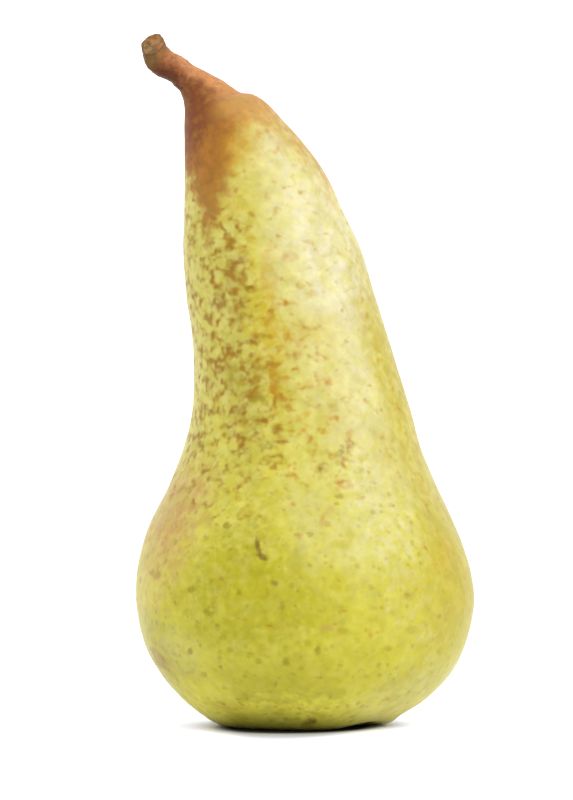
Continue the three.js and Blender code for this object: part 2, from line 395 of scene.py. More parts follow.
class Graph:
    """Adds nodes to one node tree and links them."""

    def __init__(self, tree: bpy.types.NodeTree) -> None:
        """Keep the tree that the nodes go into."""
        self.tree = tree

    def feed(self, socket: Socket, source: object) -> None:
        """Link a socket to another, or set its value.

        Args:
            socket: The input to fill.
            source: An output socket, a number, a vector or a colour.
        """
        if isinstance(source, Socket):
            self.tree.links.new(source, socket)
        else:
            socket.default_value = source

    def node(self, kind: str, inputs: dict | None = None, **settings: object) -> bpy.types.Node:
        """Add a node.

        Args:
            kind: The node's type.
            inputs: What goes into its inputs, by name or number.
            **settings: Its own settings.

        Returns:
            The node.
        """
        made = self.tree.nodes.new(kind)
        for key, value in settings.items():
            setattr(made, key, value)
        for key, value in (inputs or {}).items():
            self.feed(made.inputs[key], value)
        return made

    def maths(self, operation: str, *terms: object, clamp: bool = False) -> Socket:
        """Add a Math node.

        Args:
            operation: What it does.
            *terms: Its inputs, in order.
            clamp: Whether the result is kept from 0 to 1.

        Returns:
            The result.
        """
        made = self.node("ShaderNodeMath", dict(enumerate(terms)), operation=operation)
        made.use_clamp = clamp
        return made.outputs[0]

    def vector(self, operation: str, *terms: object) -> Socket:
        """Add a Vector Math node with vector inputs and return its vector result."""
        return self.node("ShaderNodeVectorMath", dict(enumerate(terms)), operation=operation).outputs[0]

    def scaled(self, vector: object, factor: object) -> Socket:
        """Return a vector times a number."""
        inputs = {"Vector": vector, "Scale": factor}
        return self.node("ShaderNodeVectorMath", inputs, operation="SCALE").outputs[0]

    def length(self, vector: object) -> Socket:
        """Return the length of a vector."""
        return self.node("ShaderNodeVectorMath", {0: vector}, operation="LENGTH").outputs["Value"]

    def between(self, share: object, start: float, end: float) -> Socket:
        """Return a value that goes from start to end as the share goes from 0 to 1."""
        return self.maths("MULTIPLY_ADD", share, end - start, start)

    def swing(self, share: object, reach: float) -> Socket:
        """Return a value that goes from -reach to reach as the share goes from 0 to 1."""
        return self.between(share, -reach, reach)

    def step(self, value: object, low: object, high: object) -> Socket:
        """Return a mask that rises smoothly.

        Args:
            value: What it is read at.
            low: The value at which it is 0.
            high: The value at which it is 1.

        Returns:
            The mask.
        """
        inputs = {"Value": value, "From Min": low, "From Max": high}
        made = self.node("ShaderNodeMapRange", inputs, interpolation_type="SMOOTHSTEP")
        return made.outputs["Result"]

    def times(self, *masks: object) -> Socket:
        """Return the product of several masks.

        Args:
            *masks: The masks, or shares from 0 to 1.

        Returns:
            The product.
        """
        product = masks[0]
        for mask in masks[1:]:
            product = self.maths("MULTIPLY", product, mask)
        return product

    def blend(self, share: object, under: object, over: object) -> Socket:
        """Return one colour laid over another.

        Args:
            share: How much of the upper colour shows.
            under: The lower colour.
            over: The upper colour.

        Returns:
            The blended colour.
        """
        made = self.node("ShaderNodeMix", data_type="RGBA")
        self.feed(made.inputs[0], share)
        self.feed(made.inputs[6], under)
        self.feed(made.inputs[7], over)
        return made.outputs[2]

    def grain(self, place: object, scale: object, detail: object = 2.0, warp: object = 0.0) -> Socket:
        """Add a Noise Texture and return its value."""
        inputs = {"Vector": place, "Scale": scale, "Detail": detail, "Distortion": warp}
        return self.node("ShaderNodeTexNoise", inputs).outputs["Fac"]

    def curve(self, value: object, points: tuple[Point, ...]) -> Socket:
        """Read a value off a curve.

        Args:
            value: What the curve is read at.
            points: Points of the curve, in order, each a value and what it gives, from 0 to 1.

        Returns:
            What the curve gives.
        """
        low, high = points[0][0], points[-1][0]
        made = self.node("ShaderNodeFloatCurve")
        line = made.mapping.curves[0]
        while len(line.points) < len(points):
            line.points.new(0.5, 0.5)
        for dot, (at, gives) in zip(line.points, points):
            dot.location = ((at - low) / (high - low), gives)
        made.mapping.update()
        spread = {"Value": value, "From Min": low, "From Max": high}
        self.feed(made.inputs["Value"], self.node("ShaderNodeMapRange", spread).outputs["Result"])
        return made.outputs["Value"]

    def effect(self, kind: "Effect", **inputs: object) -> bpy.types.Node:
        """Place a shared effect.

        Args:
            kind: Which effect.
            **inputs: The values or sockets that go into its inputs here.

        Returns:
            The node.
        """
        made = self.node("ShaderNodeGroup", node_tree=EFFECTS.tree(kind))
        for key, value in inputs.items():
            self.feed(made.inputs[key], value)
        return made

    def toned(self, colour: object, place: object, size: float, amount: float) -> Socket:
        """Return a colour made a little lighter here and darker there."""
        made = self.effect(Effect.TONE, Base=colour, Place=place, Size=size, Amount=amount)
        return made.outputs["Colour"]


class Effect(Enum):
    """The effects that several materials share."""

    SMUDGE = "smudge"
    DOTS = "dots"
    PEBBLE = "pebble"
    TONE = "tone"
    STROKE = "stroke"
    NET = "net"


class EffectShelf:
    """Builds each shared effect once, as a shader node group."""

    SHIFT_WAY = (1.0, 1.7, -1.3)
    NET_LINE_DETAIL = 0.5
    NET_LINE_WARP = 0.15
    NET_LINE_FALL = 22.0
    NET_LINE_SHARE = 0.16
    NET_BLOT_SHIFT = (31.0, 7.0, 13.0)
    NET_BLOT_SCALE = 1.3
    DOT_WOBBLE_SCALE = 1.1
    DOT_SIZES = (0.5, 1.3)
    DOT_CORE = 0.45
    PEBBLE_COARSE_SCALE = 0.35
    STROKE_RAGGED_EDGE = 0.45
    STROKE_FULL = 0.9
    STROKE_RAGGED_FADE = 0.3

    def __init__(self) -> None:
        """Start with no group built."""
        self.built: dict[Effect, bpy.types.NodeTree] = {}

    def tree(self, kind: Effect) -> bpy.types.NodeTree:
        """Return the node group of an effect, and build it if it is the first time.

        Args:
            kind: Which effect.

        Returns:
            The node group.
        """
        if kind not in self.built:
            self.built[kind] = getattr(self, kind.value)()
        return self.built[kind]

    @staticmethod
    def begin(name: str, inputs: dict[str, object],
              outputs: tuple[str, ...]) -> tuple[Graph, dict[str, Socket], bpy.types.Node]:
        """Start a node group.

        Args:
            name: The group's name.
            inputs: Each input's name and its starting value: a number, a vector or a colour.
            outputs: The outputs' names. One named Colour is a colour and the others are numbers.

        Returns:
            The group's graph, its input sockets by name, and its output node.
        """
        tree = bpy.data.node_groups.new(name, "ShaderNodeTree")
        kinds = {1: "NodeSocketFloat", 3: "NodeSocketVector", 4: "NodeSocketColor"}
        for label, value in inputs.items():
            size = len(value) if isinstance(value, tuple) else 1
            made = tree.interface.new_socket(label, in_out="INPUT", socket_type=kinds[size])
            made.default_value = value
        for label in outputs:
            kind = "NodeSocketColor" if label == "Colour" else "NodeSocketFloat"
            tree.interface.new_socket(label, in_out="OUTPUT", socket_type=kind)
        graph = Graph(tree)
        entry = graph.node("NodeGroupInput")
        return graph, {label: entry.outputs[label] for label in inputs}, graph.node("NodeGroupOutput")

    def moved(self, graph: Graph, at: dict[str, Socket]) -> tuple[Socket, Socket]:
        """Return the place, moved by the group's Shift, and the scale that its Size asks for."""
        shift = graph.scaled(self.SHIFT_WAY, at["Shift"])
        return graph.vector("ADD", at["Place"], shift), graph.maths("DIVIDE", 1.0, at["Size"])

    @staticmethod
    def over_level(graph: Graph, at: dict[str, Socket], value: Socket) -> Socket:
        """Return a mask of where a value is over the group's Level, as soft as its Softness.

        Args:
            graph: The group's graph.
            at: Its inputs.
            value: The value.

        Returns:
            The mask.
        """
        low = graph.maths("SUBTRACT", at["Level"], at["Softness"])
        high = graph.maths("ADD", at["Level"], at["Softness"])
        return graph.step(value, low, high)

    def smudge(self) -> bpy.types.NodeTree:
        """Build uneven patches: clouds in the skin, clumps of flecks, bark scales."""
        inputs = {"Place": (0.0, 0.0, 0.0), "Size": 3.0, "Level": 0.5, "Softness": 0.05,
                  "Detail": 3.0, "Warp": 0.5, "Shift": 0.0}
        graph, at, out = self.begin("smudge", inputs, ("Mask", "Raw"))
        place, scale = self.moved(graph, at)
        value = graph.grain(place, scale, at["Detail"], at["Warp"])
        graph.feed(out.inputs["Mask"], self.over_level(graph, at, value))
        graph.feed(out.inputs["Raw"], value)
        return graph.tree

    def net(self) -> bpy.types.NodeTree:
        """Build the broken net of cork that russet freckles draw."""
        inputs = {"Place": (0.0, 0.0, 0.0), "Size": 3.0, "Level": 0.5, "Softness": 0.1, "Shift": 0.0}
        graph, at, out = self.begin("net", inputs, ("Mask",))
        place, scale = self.moved(graph, at)
        off_line = graph.grain(place, scale, self.NET_LINE_DETAIL, self.NET_LINE_WARP)
        off_line = graph.maths("SUBTRACT", off_line, 0.5)
        square = graph.times(off_line, off_line)
        line = graph.maths("MULTIPLY_ADD", square, -self.NET_LINE_FALL, 1.0, clamp=True)
        elsewhere = graph.vector("ADD", place, self.NET_BLOT_SHIFT)
        blot = graph.grain(elsewhere, graph.times(scale, self.NET_BLOT_SCALE), detail=1.0)
        value = graph.maths("MULTIPLY_ADD", line, self.NET_LINE_SHARE,
                            graph.times(blot, 1.0 - self.NET_LINE_SHARE))
        graph.feed(out.inputs["Mask"], self.over_level(graph, at, value))
        return graph.tree

    def dots(self) -> bpy.types.NodeTree:
        """Build scattered round pores, some of them left out, each of its own size and tone."""
        inputs = {"Place": (0.0, 0.0, 0.0), "Spacing": 3.0, "Radius": 0.5, "Share": 0.6, "Wobble": 0.25}
        graph, at, out = self.begin("dots", inputs, ("Mask", "Tone"))
        noise_inputs = {"Vector": at["Place"], "Scale": self.DOT_WOBBLE_SCALE}
        wobble = graph.node("ShaderNodeTexNoise", noise_inputs).outputs["Color"]
        push = graph.scaled(graph.vector("SUBTRACT", wobble, (0.5, 0.5, 0.5)), at["Wobble"])
        place = graph.vector("ADD", at["Place"], push)
        scale = graph.maths("DIVIDE", 1.0, at["Spacing"])
        cells = graph.node("ShaderNodeTexVoronoi", {"Vector": place, "Scale": scale, "Randomness": 1.0})
        tones = graph.node("ShaderNodeSeparateColor", {"Color": cells.outputs["Color"]})
        reach = graph.times(cells.outputs["Distance"], at["Spacing"])
        size = graph.times(at["Radius"], graph.between(tones.outputs[1], *self.DOT_SIZES))
        dot = graph.step(reach, size, graph.times(size, self.DOT_CORE))
        shown = graph.maths("LESS_THAN", tones.outputs[0], at["Share"])
        graph.feed(out.inputs["Mask"], graph.times(dot, shown))
        graph.feed(out.inputs["Tone"], tones.outputs[2])
        return graph.tree

    def pebble(self) -> bpy.types.NodeTree:
        """Build the height of a fine, uneven surface, in two sizes of grain."""
        inputs = {"Place": (0.0, 0.0, 0.0), "Size": 1.0, "Roughness": 0.5}
        graph, at, out = self.begin("pebble", inputs, ("Height",))
        scale = graph.maths("DIVIDE", 1.0, at["Size"])
        coarse = graph.grain(at["Place"], graph.times(scale, self.PEBBLE_COARSE_SCALE))
        fine = graph.grain(at["Place"], scale, detail=3.0)
        rough = graph.times(fine, at["Roughness"])
        graph.feed(out.inputs["Height"], graph.maths("ADD", coarse, rough))
        return graph.tree

    def tone(self) -> bpy.types.NodeTree:
        """Build a colour that is a little lighter here and darker there."""
        inputs = {"Base": (0.5, 0.5, 0.5, 1.0), "Place": (0.0, 0.0, 0.0), "Size": 8.0, "Amount": 0.1}
        graph, at, out = self.begin("tone", inputs, ("Colour",))
        value = graph.grain(at["Place"], graph.maths("DIVIDE", 1.0, at["Size"]), detail=4.0, warp=0.3)
        factor = graph.maths("MULTIPLY_ADD", graph.swing(value, 1.0), at["Amount"], 1.0)
        graph.feed(out.inputs["Colour"], graph.scaled(at["Base"], factor))
        return graph.tree

    def stroke(self) -> bpy.types.NodeTree:
        """Build one patch or scar at a place on the surface, with a ragged edge."""
        inputs = {"Place": (0.0, 0.0, 0.0), "Ragged": 0.0, "Centre": (0.0, 0.0, 0.0), "Turn": 0.0,
                  "Length": 2.0, "Width": 0.5, "Depth": 9.0, "Soft": 0.4}
        graph, at, out = self.begin("stroke", inputs, ("Mask",))
        apart = graph.vector("SUBTRACT", at["Place"], at["Centre"])
        spin = {"Vector": apart, "Axis": (0.0, 1.0, 0.0), "Angle": at["Turn"]}
        local = graph.node("ShaderNodeVectorRotate", spin, rotation_type="AXIS_ANGLE").outputs[0]
        sizes = {0: at["Length"], 1: at["Depth"], 2: at["Width"]}
        size = graph.node("ShaderNodeCombineXYZ", sizes).outputs[0]
        reach = graph.length(graph.vector("DIVIDE", local, size))
        reach = graph.maths("MULTIPLY_ADD", at["Ragged"], self.STROKE_RAGGED_EDGE, reach)
        outer = graph.maths("ADD", at["Soft"], 1.0)
        inner = graph.maths("SUBTRACT", 1.0, at["Soft"])
        uneven = graph.maths("MULTIPLY_ADD", at["Ragged"], -self.STROKE_RAGGED_FADE,
                             self.STROKE_FULL, clamp=True)
        graph.feed(out.inputs["Mask"], graph.times(graph.step(reach, outer, inner), uneven))
        return graph.tree


EFFECTS = EffectShelf()


def new_material(name: str) -> tuple[bpy.types.Material, Graph, bpy.types.Node, Socket]:
    """Start a material with a Principled BSDF.

    Args:
        name: The material's name.

    Returns:
        The material, its graph, its shader, and the place on the object in millimetres.
    """
    made = bpy.data.materials.new(name)
    made.use_nodes = True
    made.node_tree.nodes.clear()
    graph = Graph(made.node_tree)
    shader = graph.node("ShaderNodeBsdfPrincipled")
    graph.node("ShaderNodeOutputMaterial", {"Surface": shader.outputs["BSDF"]})
    place = graph.node("ShaderNodeTexCoord").outputs["Object"]
    return made, graph, shader, graph.scaled(place, 1 / MM)


def bumped(graph: Graph, shader: bpy.types.Node, height: object, depth: float) -> None:
    """Give a shader a bump.

    Args:
        graph: The material's graph.
        shader: Its shader.
        height: The height, as a mask.
        depth: How deep a step from 0 to 1 is, in millimetres.
    """
    inputs = {"Height": height, "Distance": depth * MM, "Strength": 1.0}
    graph.feed(shader.inputs["Normal"], graph.node("ShaderNodeBump", inputs).outputs["Normal"])


# ---------------------------------------------------------------------------- finishes

class Hue(Enum):
    """The colours of the marks on the skin."""

    GREEN = srgb(132, 127, 4)
    LIME = srgb(140, 132, 3)
    YELLOW = srgb(138, 124, 9)
    GOLD = srgb(155, 140, 18)
    # Cream and pale: partly the skin's own pale colour and partly a painted highlight.
    CREAM_HIGHLIGHT = srgb(164, 157, 120)
    PALE_HIGHLIGHT = srgb(173, 168, 147)
    # A colour of painted light, for the front of the foot.
    BOUNCE_LIGHT = srgb(213, 204, 78)
    AMBER = srgb(150, 120, 11)
    ORANGE = srgb(136, 92, 9)
    TAN = srgb(145, 113, 57)
    # Pinkish tan: partly russet tint, partly a painted reflection.
    TAN_AND_SHEEN = srgb(158, 131, 76)
    OLIVE = srgb(111, 97, 9)
    BROWN = srgb(110, 74, 7)
    RUST = srgb(95, 48, 14)
    DARK = srgb(78, 46, 6)


@dataclass(frozen=True)
class Mark:
    """One patch or scar that this pear has on its front, or a patch of painted light there.

    Attributes:
        hue: Its colour.
        place: Its (x, z), in millimetres.
        length: Half its length, in millimetres.
        width: Half its width, in millimetres.
        turn: How far it rises to the right, in degrees.
        strength: How strongly it shows, from 0 to 1.
        soft: How far its edge spreads, as a share of its size.
    """

    hue: Hue
    place: Point
    length: float
    width: float
    turn: float = 0.0
    strength: float = 0.8
    soft: float = 0.6


# The cream and pale patches, above all the long band up the right of the neck, are partly pale skin and
# partly a painted highlight.
PATCHES = (
    Mark(Hue.GREEN, (-9.0, 26.0), 15.0, 10.0, 0, 0.85),
    Mark(Hue.GREEN, (-12.0, 36.0), 9.0, 7.0, 40, 0.4, 0.7),
    Mark(Hue.CREAM_HIGHLIGHT, (5.0, 86.0), 48.0, 6.0, -76, 0.85, 0.7),
    Mark(Hue.GOLD, (-8.4, 79.0), 24.0, 2.6, -82, 0.6, 0.7),
    Mark(Hue.AMBER, (-7.4, 89.5), 6.5, 1.5, 90, 0.75),
    Mark(Hue.AMBER, (-6.2, 76.0), 9.0, 2.4, -82, 0.4, 0.7),
    Mark(Hue.BROWN, (-13.6, 91.0), 3.6, 2.6, 60, 0.4),
    Mark(Hue.OLIVE, (-12.5, 70.0), 26.0, 3.0, -86, 0.3, 0.8),
    Mark(Hue.YELLOW, (17.4, 68.0), 16.0, 2.6, -74, 0.85, 0.7),
    Mark(Hue.YELLOW, (28.5, 34.0), 10.0, 3.0, -68, 0.6),
    # A pale pinkish-tan stripe down the left edge of the belly: partly russet tint, partly a painted
    # reflection of the white surroundings.
    Mark(Hue.TAN_AND_SHEEN, (-28.5, 36.0), 12.0, 5.0, 70, 0.6, 0.8),
    Mark(Hue.LIME, (8.5, 29.9), 3.6, 1.6, 0, 0.5),
    Mark(Hue.LIME, (12.6, 28.9), 2.2, 1.6, 0, 0.5),
    Mark(Hue.CREAM_HIGHLIGHT, (19.0, 5.0), 11.0, 4.2, 28, 0.35, 0.8),
    Mark(Hue.CREAM_HIGHLIGHT, (-5.5, 93.0), 7.0, 2.4, -82, 0.35, 0.8),
    Mark(Hue.GOLD, (-10.9, 81.0), 4.0, 2.0, -80, 0.4, 0.8),
    Mark(Hue.AMBER, (-14.9, 104.5), 3.2, 2.0, 60, 0.45, 0.8),
    Mark(Hue.GOLD, (3.0, 80.0), 5.5, 3.0, 0, 0.6, 0.8),
    Mark(Hue.GOLD, (5.2, 73.0), 5.5, 2.4, -80, 0.35, 0.8),
    Mark(Hue.OLIVE, (-10.0, 69.0), 6.0, 3.0, 0, 0.4, 0.8),
    Mark(Hue.CREAM_HIGHLIGHT, (3.0, 108.0), 14.0, 5.0, -62, 0.4, 0.8),
    Mark(Hue.PALE_HIGHLIGHT, (5.0, 92.0), 12.0, 5.0, -74, 0.55, 0.8),
    Mark(Hue.CREAM_HIGHLIGHT, (9.5, 35.5), 7.0, 3.0, -75, 0.3, 0.8),
    Mark(Hue.OLIVE, (-29.0, 15.0), 9.0, 3.2, -62, 0.45, 0.8),
    Mark(Hue.BROWN, (-14.5, 3.4), 3.8, 1.6, -10, 0.3, 0.8),
    Mark(Hue.YELLOW, (6.5, 62.0), 6.5, 3.0, -80, 0.4, 0.8),
    Mark(Hue.YELLOW, (15.5, 55.0), 5.0, 3.0, -60, 0.4, 0.8),
    Mark(Hue.YELLOW, (21.5, 27.0), 4.5, 2.6, -70, 0.35, 0.8),
    Mark(Hue.TAN, (-26.0, 43.0), 9.0, 4.6, 62, 0.9, 0.8),
    Mark(Hue.CREAM_HIGHLIGHT, (1.0, 41.0), 9.0, 4.0, -80, 0.3, 0.8),
    Mark(Hue.CREAM_HIGHLIGHT, (-25.0, 15.0), 5.0, 3.0, -50, 0.25, 0.8),
    Mark(Hue.AMBER, (-13.2, 115.0), 5.0, 3.4, 62, 0.6, 0.7),
    Mark(Hue.TAN, (-5.0, 119.5), 8.0, 2.2, -48, 0.6, 0.7),
    Mark(Hue.YELLOW, (12.8, 79.0), 6.0, 1.8, -70, 0.35, 0.8),
    Mark(Hue.YELLOW, (19.6, 62.5), 8.0, 1.5, -74, 0.35, 0.8),
    # Painted light: a lighter patch low on the middle of the front, just above the foot.
    Mark(Hue.BOUNCE_LIGHT, (-3.0, 2.8), 8.0, 2.8, 0, 0.8, 0.8),
)

BLOTCHES = (
    Mark(Hue.BROWN, (-12.7, 92.8), 1.9, 0.7, 40),
    Mark(Hue.BROWN, (-14.7, 90.8), 2.1, 0.8, 80),
    Mark(Hue.BROWN, (-12.3, 89.8), 1.7, 0.7, 90),
    Mark(Hue.BROWN, (-16.7, 84.4), 2.6, 0.9, 82),
    Mark(Hue.BROWN, (-12.7, 83.4), 2.9, 0.9, 75),
    Mark(Hue.BROWN, (-11.3, 77.1), 1.8, 0.45, 8, 0.8),
    Mark(Hue.ORANGE, (-5.9, 84.0), 1.9, 0.9, 90, 0.6),
    Mark(Hue.ORANGE, (-0.3, 81.0), 1.7, 0.6, -50),
    Mark(Hue.ORANGE, (1.8, 79.8), 1.1, 0.6, 5),
    Mark(Hue.TAN, (1.7, 86.4), 0.9, 0.8, 0, 0.6),
    Mark(Hue.TAN, (-2.9, 93.8), 1.4, 1.0, 20, 0.6),
    Mark(Hue.TAN, (-1.3, 76.9), 2.0, 0.9, 90, 0.6),
    Mark(Hue.AMBER, (-5.5, 78.9), 1.9, 1.2, 0, 0.7),
    Mark(Hue.BROWN, (-8.5, 72.5), 1.7, 1.2, 20, 0.7),
    Mark(Hue.ORANGE, (-5.9, 68.3), 2.6, 1.2, 86),
    Mark(Hue.ORANGE, (4.9, 68.7), 1.0, 0.8, 0),
    Mark(Hue.AMBER, (1.7, 68.9), 1.6, 1.2, 0, 0.6),
    Mark(Hue.BROWN, (-19.1, 68.4), 1.5, 0.55, -60, 0.8),
    Mark(Hue.BROWN, (-14.5, 71.5), 1.7, 0.7, -40),
    Mark(Hue.BROWN, (-13.3, 63.9), 1.5, 1.0, 30),
    Mark(Hue.OLIVE, (-9.3, 64.9), 1.9, 1.0, 5),
    Mark(Hue.ORANGE, (-4.9, 66.0), 2.0, 0.8, -35),
    Mark(Hue.ORANGE, (1.5, 64.5), 1.4, 0.55, -12),
    Mark(Hue.AMBER, (-0.5, 61.9), 1.6, 0.7, 30),
    Mark(Hue.BROWN, (-5.9, 59.1), 1.2, 1.1, 0),
    Mark(Hue.BROWN, (-4.9, 57.1), 1.9, 0.35, 0, 0.6),
    Mark(Hue.BROWN, (-13.3, 58.3), 1.3, 0.9, 0, 0.9),
    Mark(Hue.OLIVE, (-20.7, 56.5), 0.7, 0.6, 0, 0.9),
    Mark(Hue.OLIVE, (-7.3, 56.3), 1.5, 0.9, 0),
    Mark(Hue.OLIVE, (-12.9, 54.4), 1.7, 0.5, -10, 0.9),
    Mark(Hue.OLIVE, (-15.9, 53.4), 0.8, 0.8, 0),
    Mark(Hue.BROWN, (-5.3, 53.5), 1.4, 0.9, 10, 0.9),
    Mark(Hue.OLIVE, (-8.3, 52.5), 1.4, 0.5, 10),
    Mark(Hue.BROWN, (8.7, 55.9), 1.0, 1.3, 0, 0.9),
    Mark(Hue.ORANGE, (9.1, 58.0), 1.2, 0.5, 85, 0.6),
    Mark(Hue.OLIVE, (6.5, 54.0), 1.9, 0.6, 35),
    Mark(Hue.BROWN, (8.5, 52.5), 1.3, 1.0, 0, 0.9),
    Mark(Hue.BROWN, (3.7, 52.1), 1.3, 0.9, 0, 0.9),
    Mark(Hue.OLIVE, (10.5, 50.9), 0.9, 0.7, 0),
    Mark(Hue.LIME, (11.3, 53.5), 0.9, 0.7, 0),
    Mark(Hue.ORANGE, (7.7, 48.5), 1.6, 0.8, -15, 0.9),
    Mark(Hue.OLIVE, (6.9, 45.9), 1.0, 0.5, 0),
    Mark(Hue.TAN, (5.5, 43.5), 1.0, 0.8, 0, 0.6),
    Mark(Hue.TAN, (0.1, 43.1), 0.9, 0.6, 0, 0.7),
)

SPECKS = (
    Mark(Hue.TAN, (3.3, 40.9), 1.3, 0.6, 80, 0.6),
    Mark(Hue.OLIVE, (-15.3, 40.1), 0.8, 0.6, 20, 0.9),
    Mark(Hue.LIME, (9.3, 38.5), 1.2, 1.0, 90),
    Mark(Hue.LIME, (7.5, 36.1), 1.7, 0.9, 0),
    Mark(Hue.DARK, (-9.0, 35.2), 1.6, 0.4, -76, 0.9),
    Mark(Hue.DARK, (-8.4, 33.4), 1.0, 0.5, -30, 0.9),
    Mark(Hue.DARK, (-5.9, 28.1), 0.8, 0.6, 0, 0.7),
    Mark(Hue.OLIVE, (-19.5, 22.9), 1.0, 0.6, 0, 0.9),
    Mark(Hue.OLIVE, (-22.7, 26.9), 0.8, 0.6, 80, 0.9),
    Mark(Hue.OLIVE, (-13.1, 26.5), 0.6, 0.6, 0, 0.9),
    Mark(Hue.OLIVE, (-4.7, 23.9), 0.9, 0.5, 80),
    Mark(Hue.TAN, (5.3, 19.7), 1.6, 0.6, -10, 0.6),
    Mark(Hue.OLIVE, (-14.7, 15.5), 0.8, 0.6, 0),
    Mark(Hue.OLIVE, (-4.1, 12.7), 0.8, 0.7, 90, 0.9),
    Mark(Hue.OLIVE, (-9.1, 12.9), 0.6, 0.5, 0),
    Mark(Hue.OLIVE, (2.3, 15.5), 0.6, 0.6, 0),
    Mark(Hue.OLIVE, (-23.1, 15.2), 0.6, 0.5, 90, 0.9),
    Mark(Hue.OLIVE, (-5.7, 8.2), 0.8, 0.4, 80),
    Mark(Hue.DARK, (0.8, 0.7), 1.2, 0.8, 20, 1.0),
    Mark(Hue.BROWN, (-29.2, 13.0), 2.4, 1.1, -52, 0.8, 0.5),
    Mark(Hue.BROWN, (-29.6, 30.6), 1.1, 0.8, 0, 0.5),
    Mark(Hue.TAN, (-25.8, 33.0), 1.7, 1.0, 0, 0.6),
    Mark(Hue.OLIVE, (21.1, 26.4), 1.3, 0.9, 0, 0.5),
    Mark(Hue.OLIVE, (21.5, 19.1), 1.3, 0.8, 0, 0.5),
    Mark(Hue.OLIVE, (16.7, 15.9), 0.7, 0.6, 0, 0.6),
    Mark(Hue.AMBER, (28.1, 34.8), 3.0, 1.8, 70, 0.4, 0.8),
)

RUSSETS = (
    Mark(Hue.RUST, (-21.4, 124.6), 4.8, 3.0, -70, 1.0, 0.8),
    Mark(Hue.RUST, (-23.0, 119.5), 6.0, 2.0, 88, 1.0, 0.8),
    Mark(Hue.AMBER, (-12.8, 115.6), 5.0, 3.0, 60, 0.3, 0.8),
    Mark(Hue.TAN, (-14.0, 124.0), 4.0, 1.6, 20, 0.6, 0.8),
    Mark(Hue.TAN, (-7.4, 121.0), 5.0, 1.5, -42, 0.8, 0.8),
)


# How far a mark reaches through the flesh, beyond its own length.
MARK_DEPTH = 6.0


@dataclass
class Spot:
    """The sockets that say where on the fruit a shader is.

    Attributes:
        place: The place in millimetres.
        x: How far to the right.
        z: The height.
        side: From -1 at the left end of a section to 1 at its right end.
        front: From -1 at the back of a section to 1 at its front.
        ragged: A fine unevenness for the edges of marks, from about -1 to 1.
        broken: A mask that breaks a mark up into spots.
    """

    place: Socket
    x: Socket
    z: Socket
    side: Socket
    front: Socket
    ragged: Socket
    broken: Socket

    @classmethod
    def on(cls, graph: Graph, place: Socket) -> "Spot":
        """Add the nodes that find the spot.

        Args:
            graph: The material's graph.
            place: The place in millimetres.

        Returns:
            The spot.
        """
        x, _, z = graph.node("ShaderNodeSeparateXYZ", {0: place}).outputs
        side, front = (graph.node("ShaderNodeAttribute", attribute_name=name).outputs["Fac"]
                       for name in ("side", "front"))
        ragged = graph.swing(graph.grain(place, scale=0.6), reach=2.0)
        broken = graph.effect(Effect.NET, Place=place, Size=2.6, Level=0.5, Softness=0.22, Shift=9.0)
        return cls(place, x, z, side, front, ragged, broken.outputs["Mask"])


def draw_marks(graph: Graph, colour: Socket, spot: Spot, marks: tuple[Mark, ...],
               centres: dict[Mark, Triple], within: object) -> Socket:
    """Draw some of the pear's own marks, one over another.

    Args:
        graph: The material's graph.
        colour: The colour underneath.
        spot: Where the shader is.
        marks: The marks.
        centres: The point of the surface where each mark lies.
        within: A mask or a share that all of them keep to.

    Returns:
        The colour with the marks.
    """
    for mark in marks:
        shape = graph.effect(
            Effect.STROKE, Place=spot.place, Ragged=spot.ragged, Centre=centres[mark],
            Turn=math.radians(mark.turn), Length=mark.length, Width=mark.width,
            Depth=2 * mark.length + MARK_DEPTH, Soft=mark.soft)
        share = graph.times(within, shape.outputs["Mask"], mark.strength)
        colour = graph.blend(share, colour, mark.hue.value)
    return colour


@dataclass(frozen=True)
class Stalk:
    """The browns that the stem shares with the flesh next to it, with a painted highlight above and painted
    shade below.
    """

    # The painted shade of the underside, the middle brown, and the painted highlight of the upper side.
    painted_shade: Colour = srgb(74, 34, 9)
    middle: Colour = srgb(108, 62, 28)
    painted_light: Colour = srgb(148, 97, 55)
    drift: float = 0.4
    low: Span = (-0.8, 0.0)
    high: Span = (0.0, 0.9)

    def colour(self, graph: Graph, place: Socket, side: Socket) -> Socket:
        """Colour a place of the stalk.

        Args:
            graph: The material's graph.
            place: The place in millimetres.
            side: From -1 on the underside of the stalk to 1 on its upper side.

        Returns:
            The colour.
        """
        drift = graph.swing(graph.grain(place, scale=0.5), self.drift)
        level = graph.maths("ADD", side, drift)
        # Painted shade below and painted highlight above, by the side of the stalk.
        colour = graph.blend(graph.step(level, *self.low), self.painted_shade, self.middle)
        colour = graph.blend(graph.step(level, *self.high), colour, self.painted_light)
        return graph.toned(colour, place, size=1.3, amount=0.6)


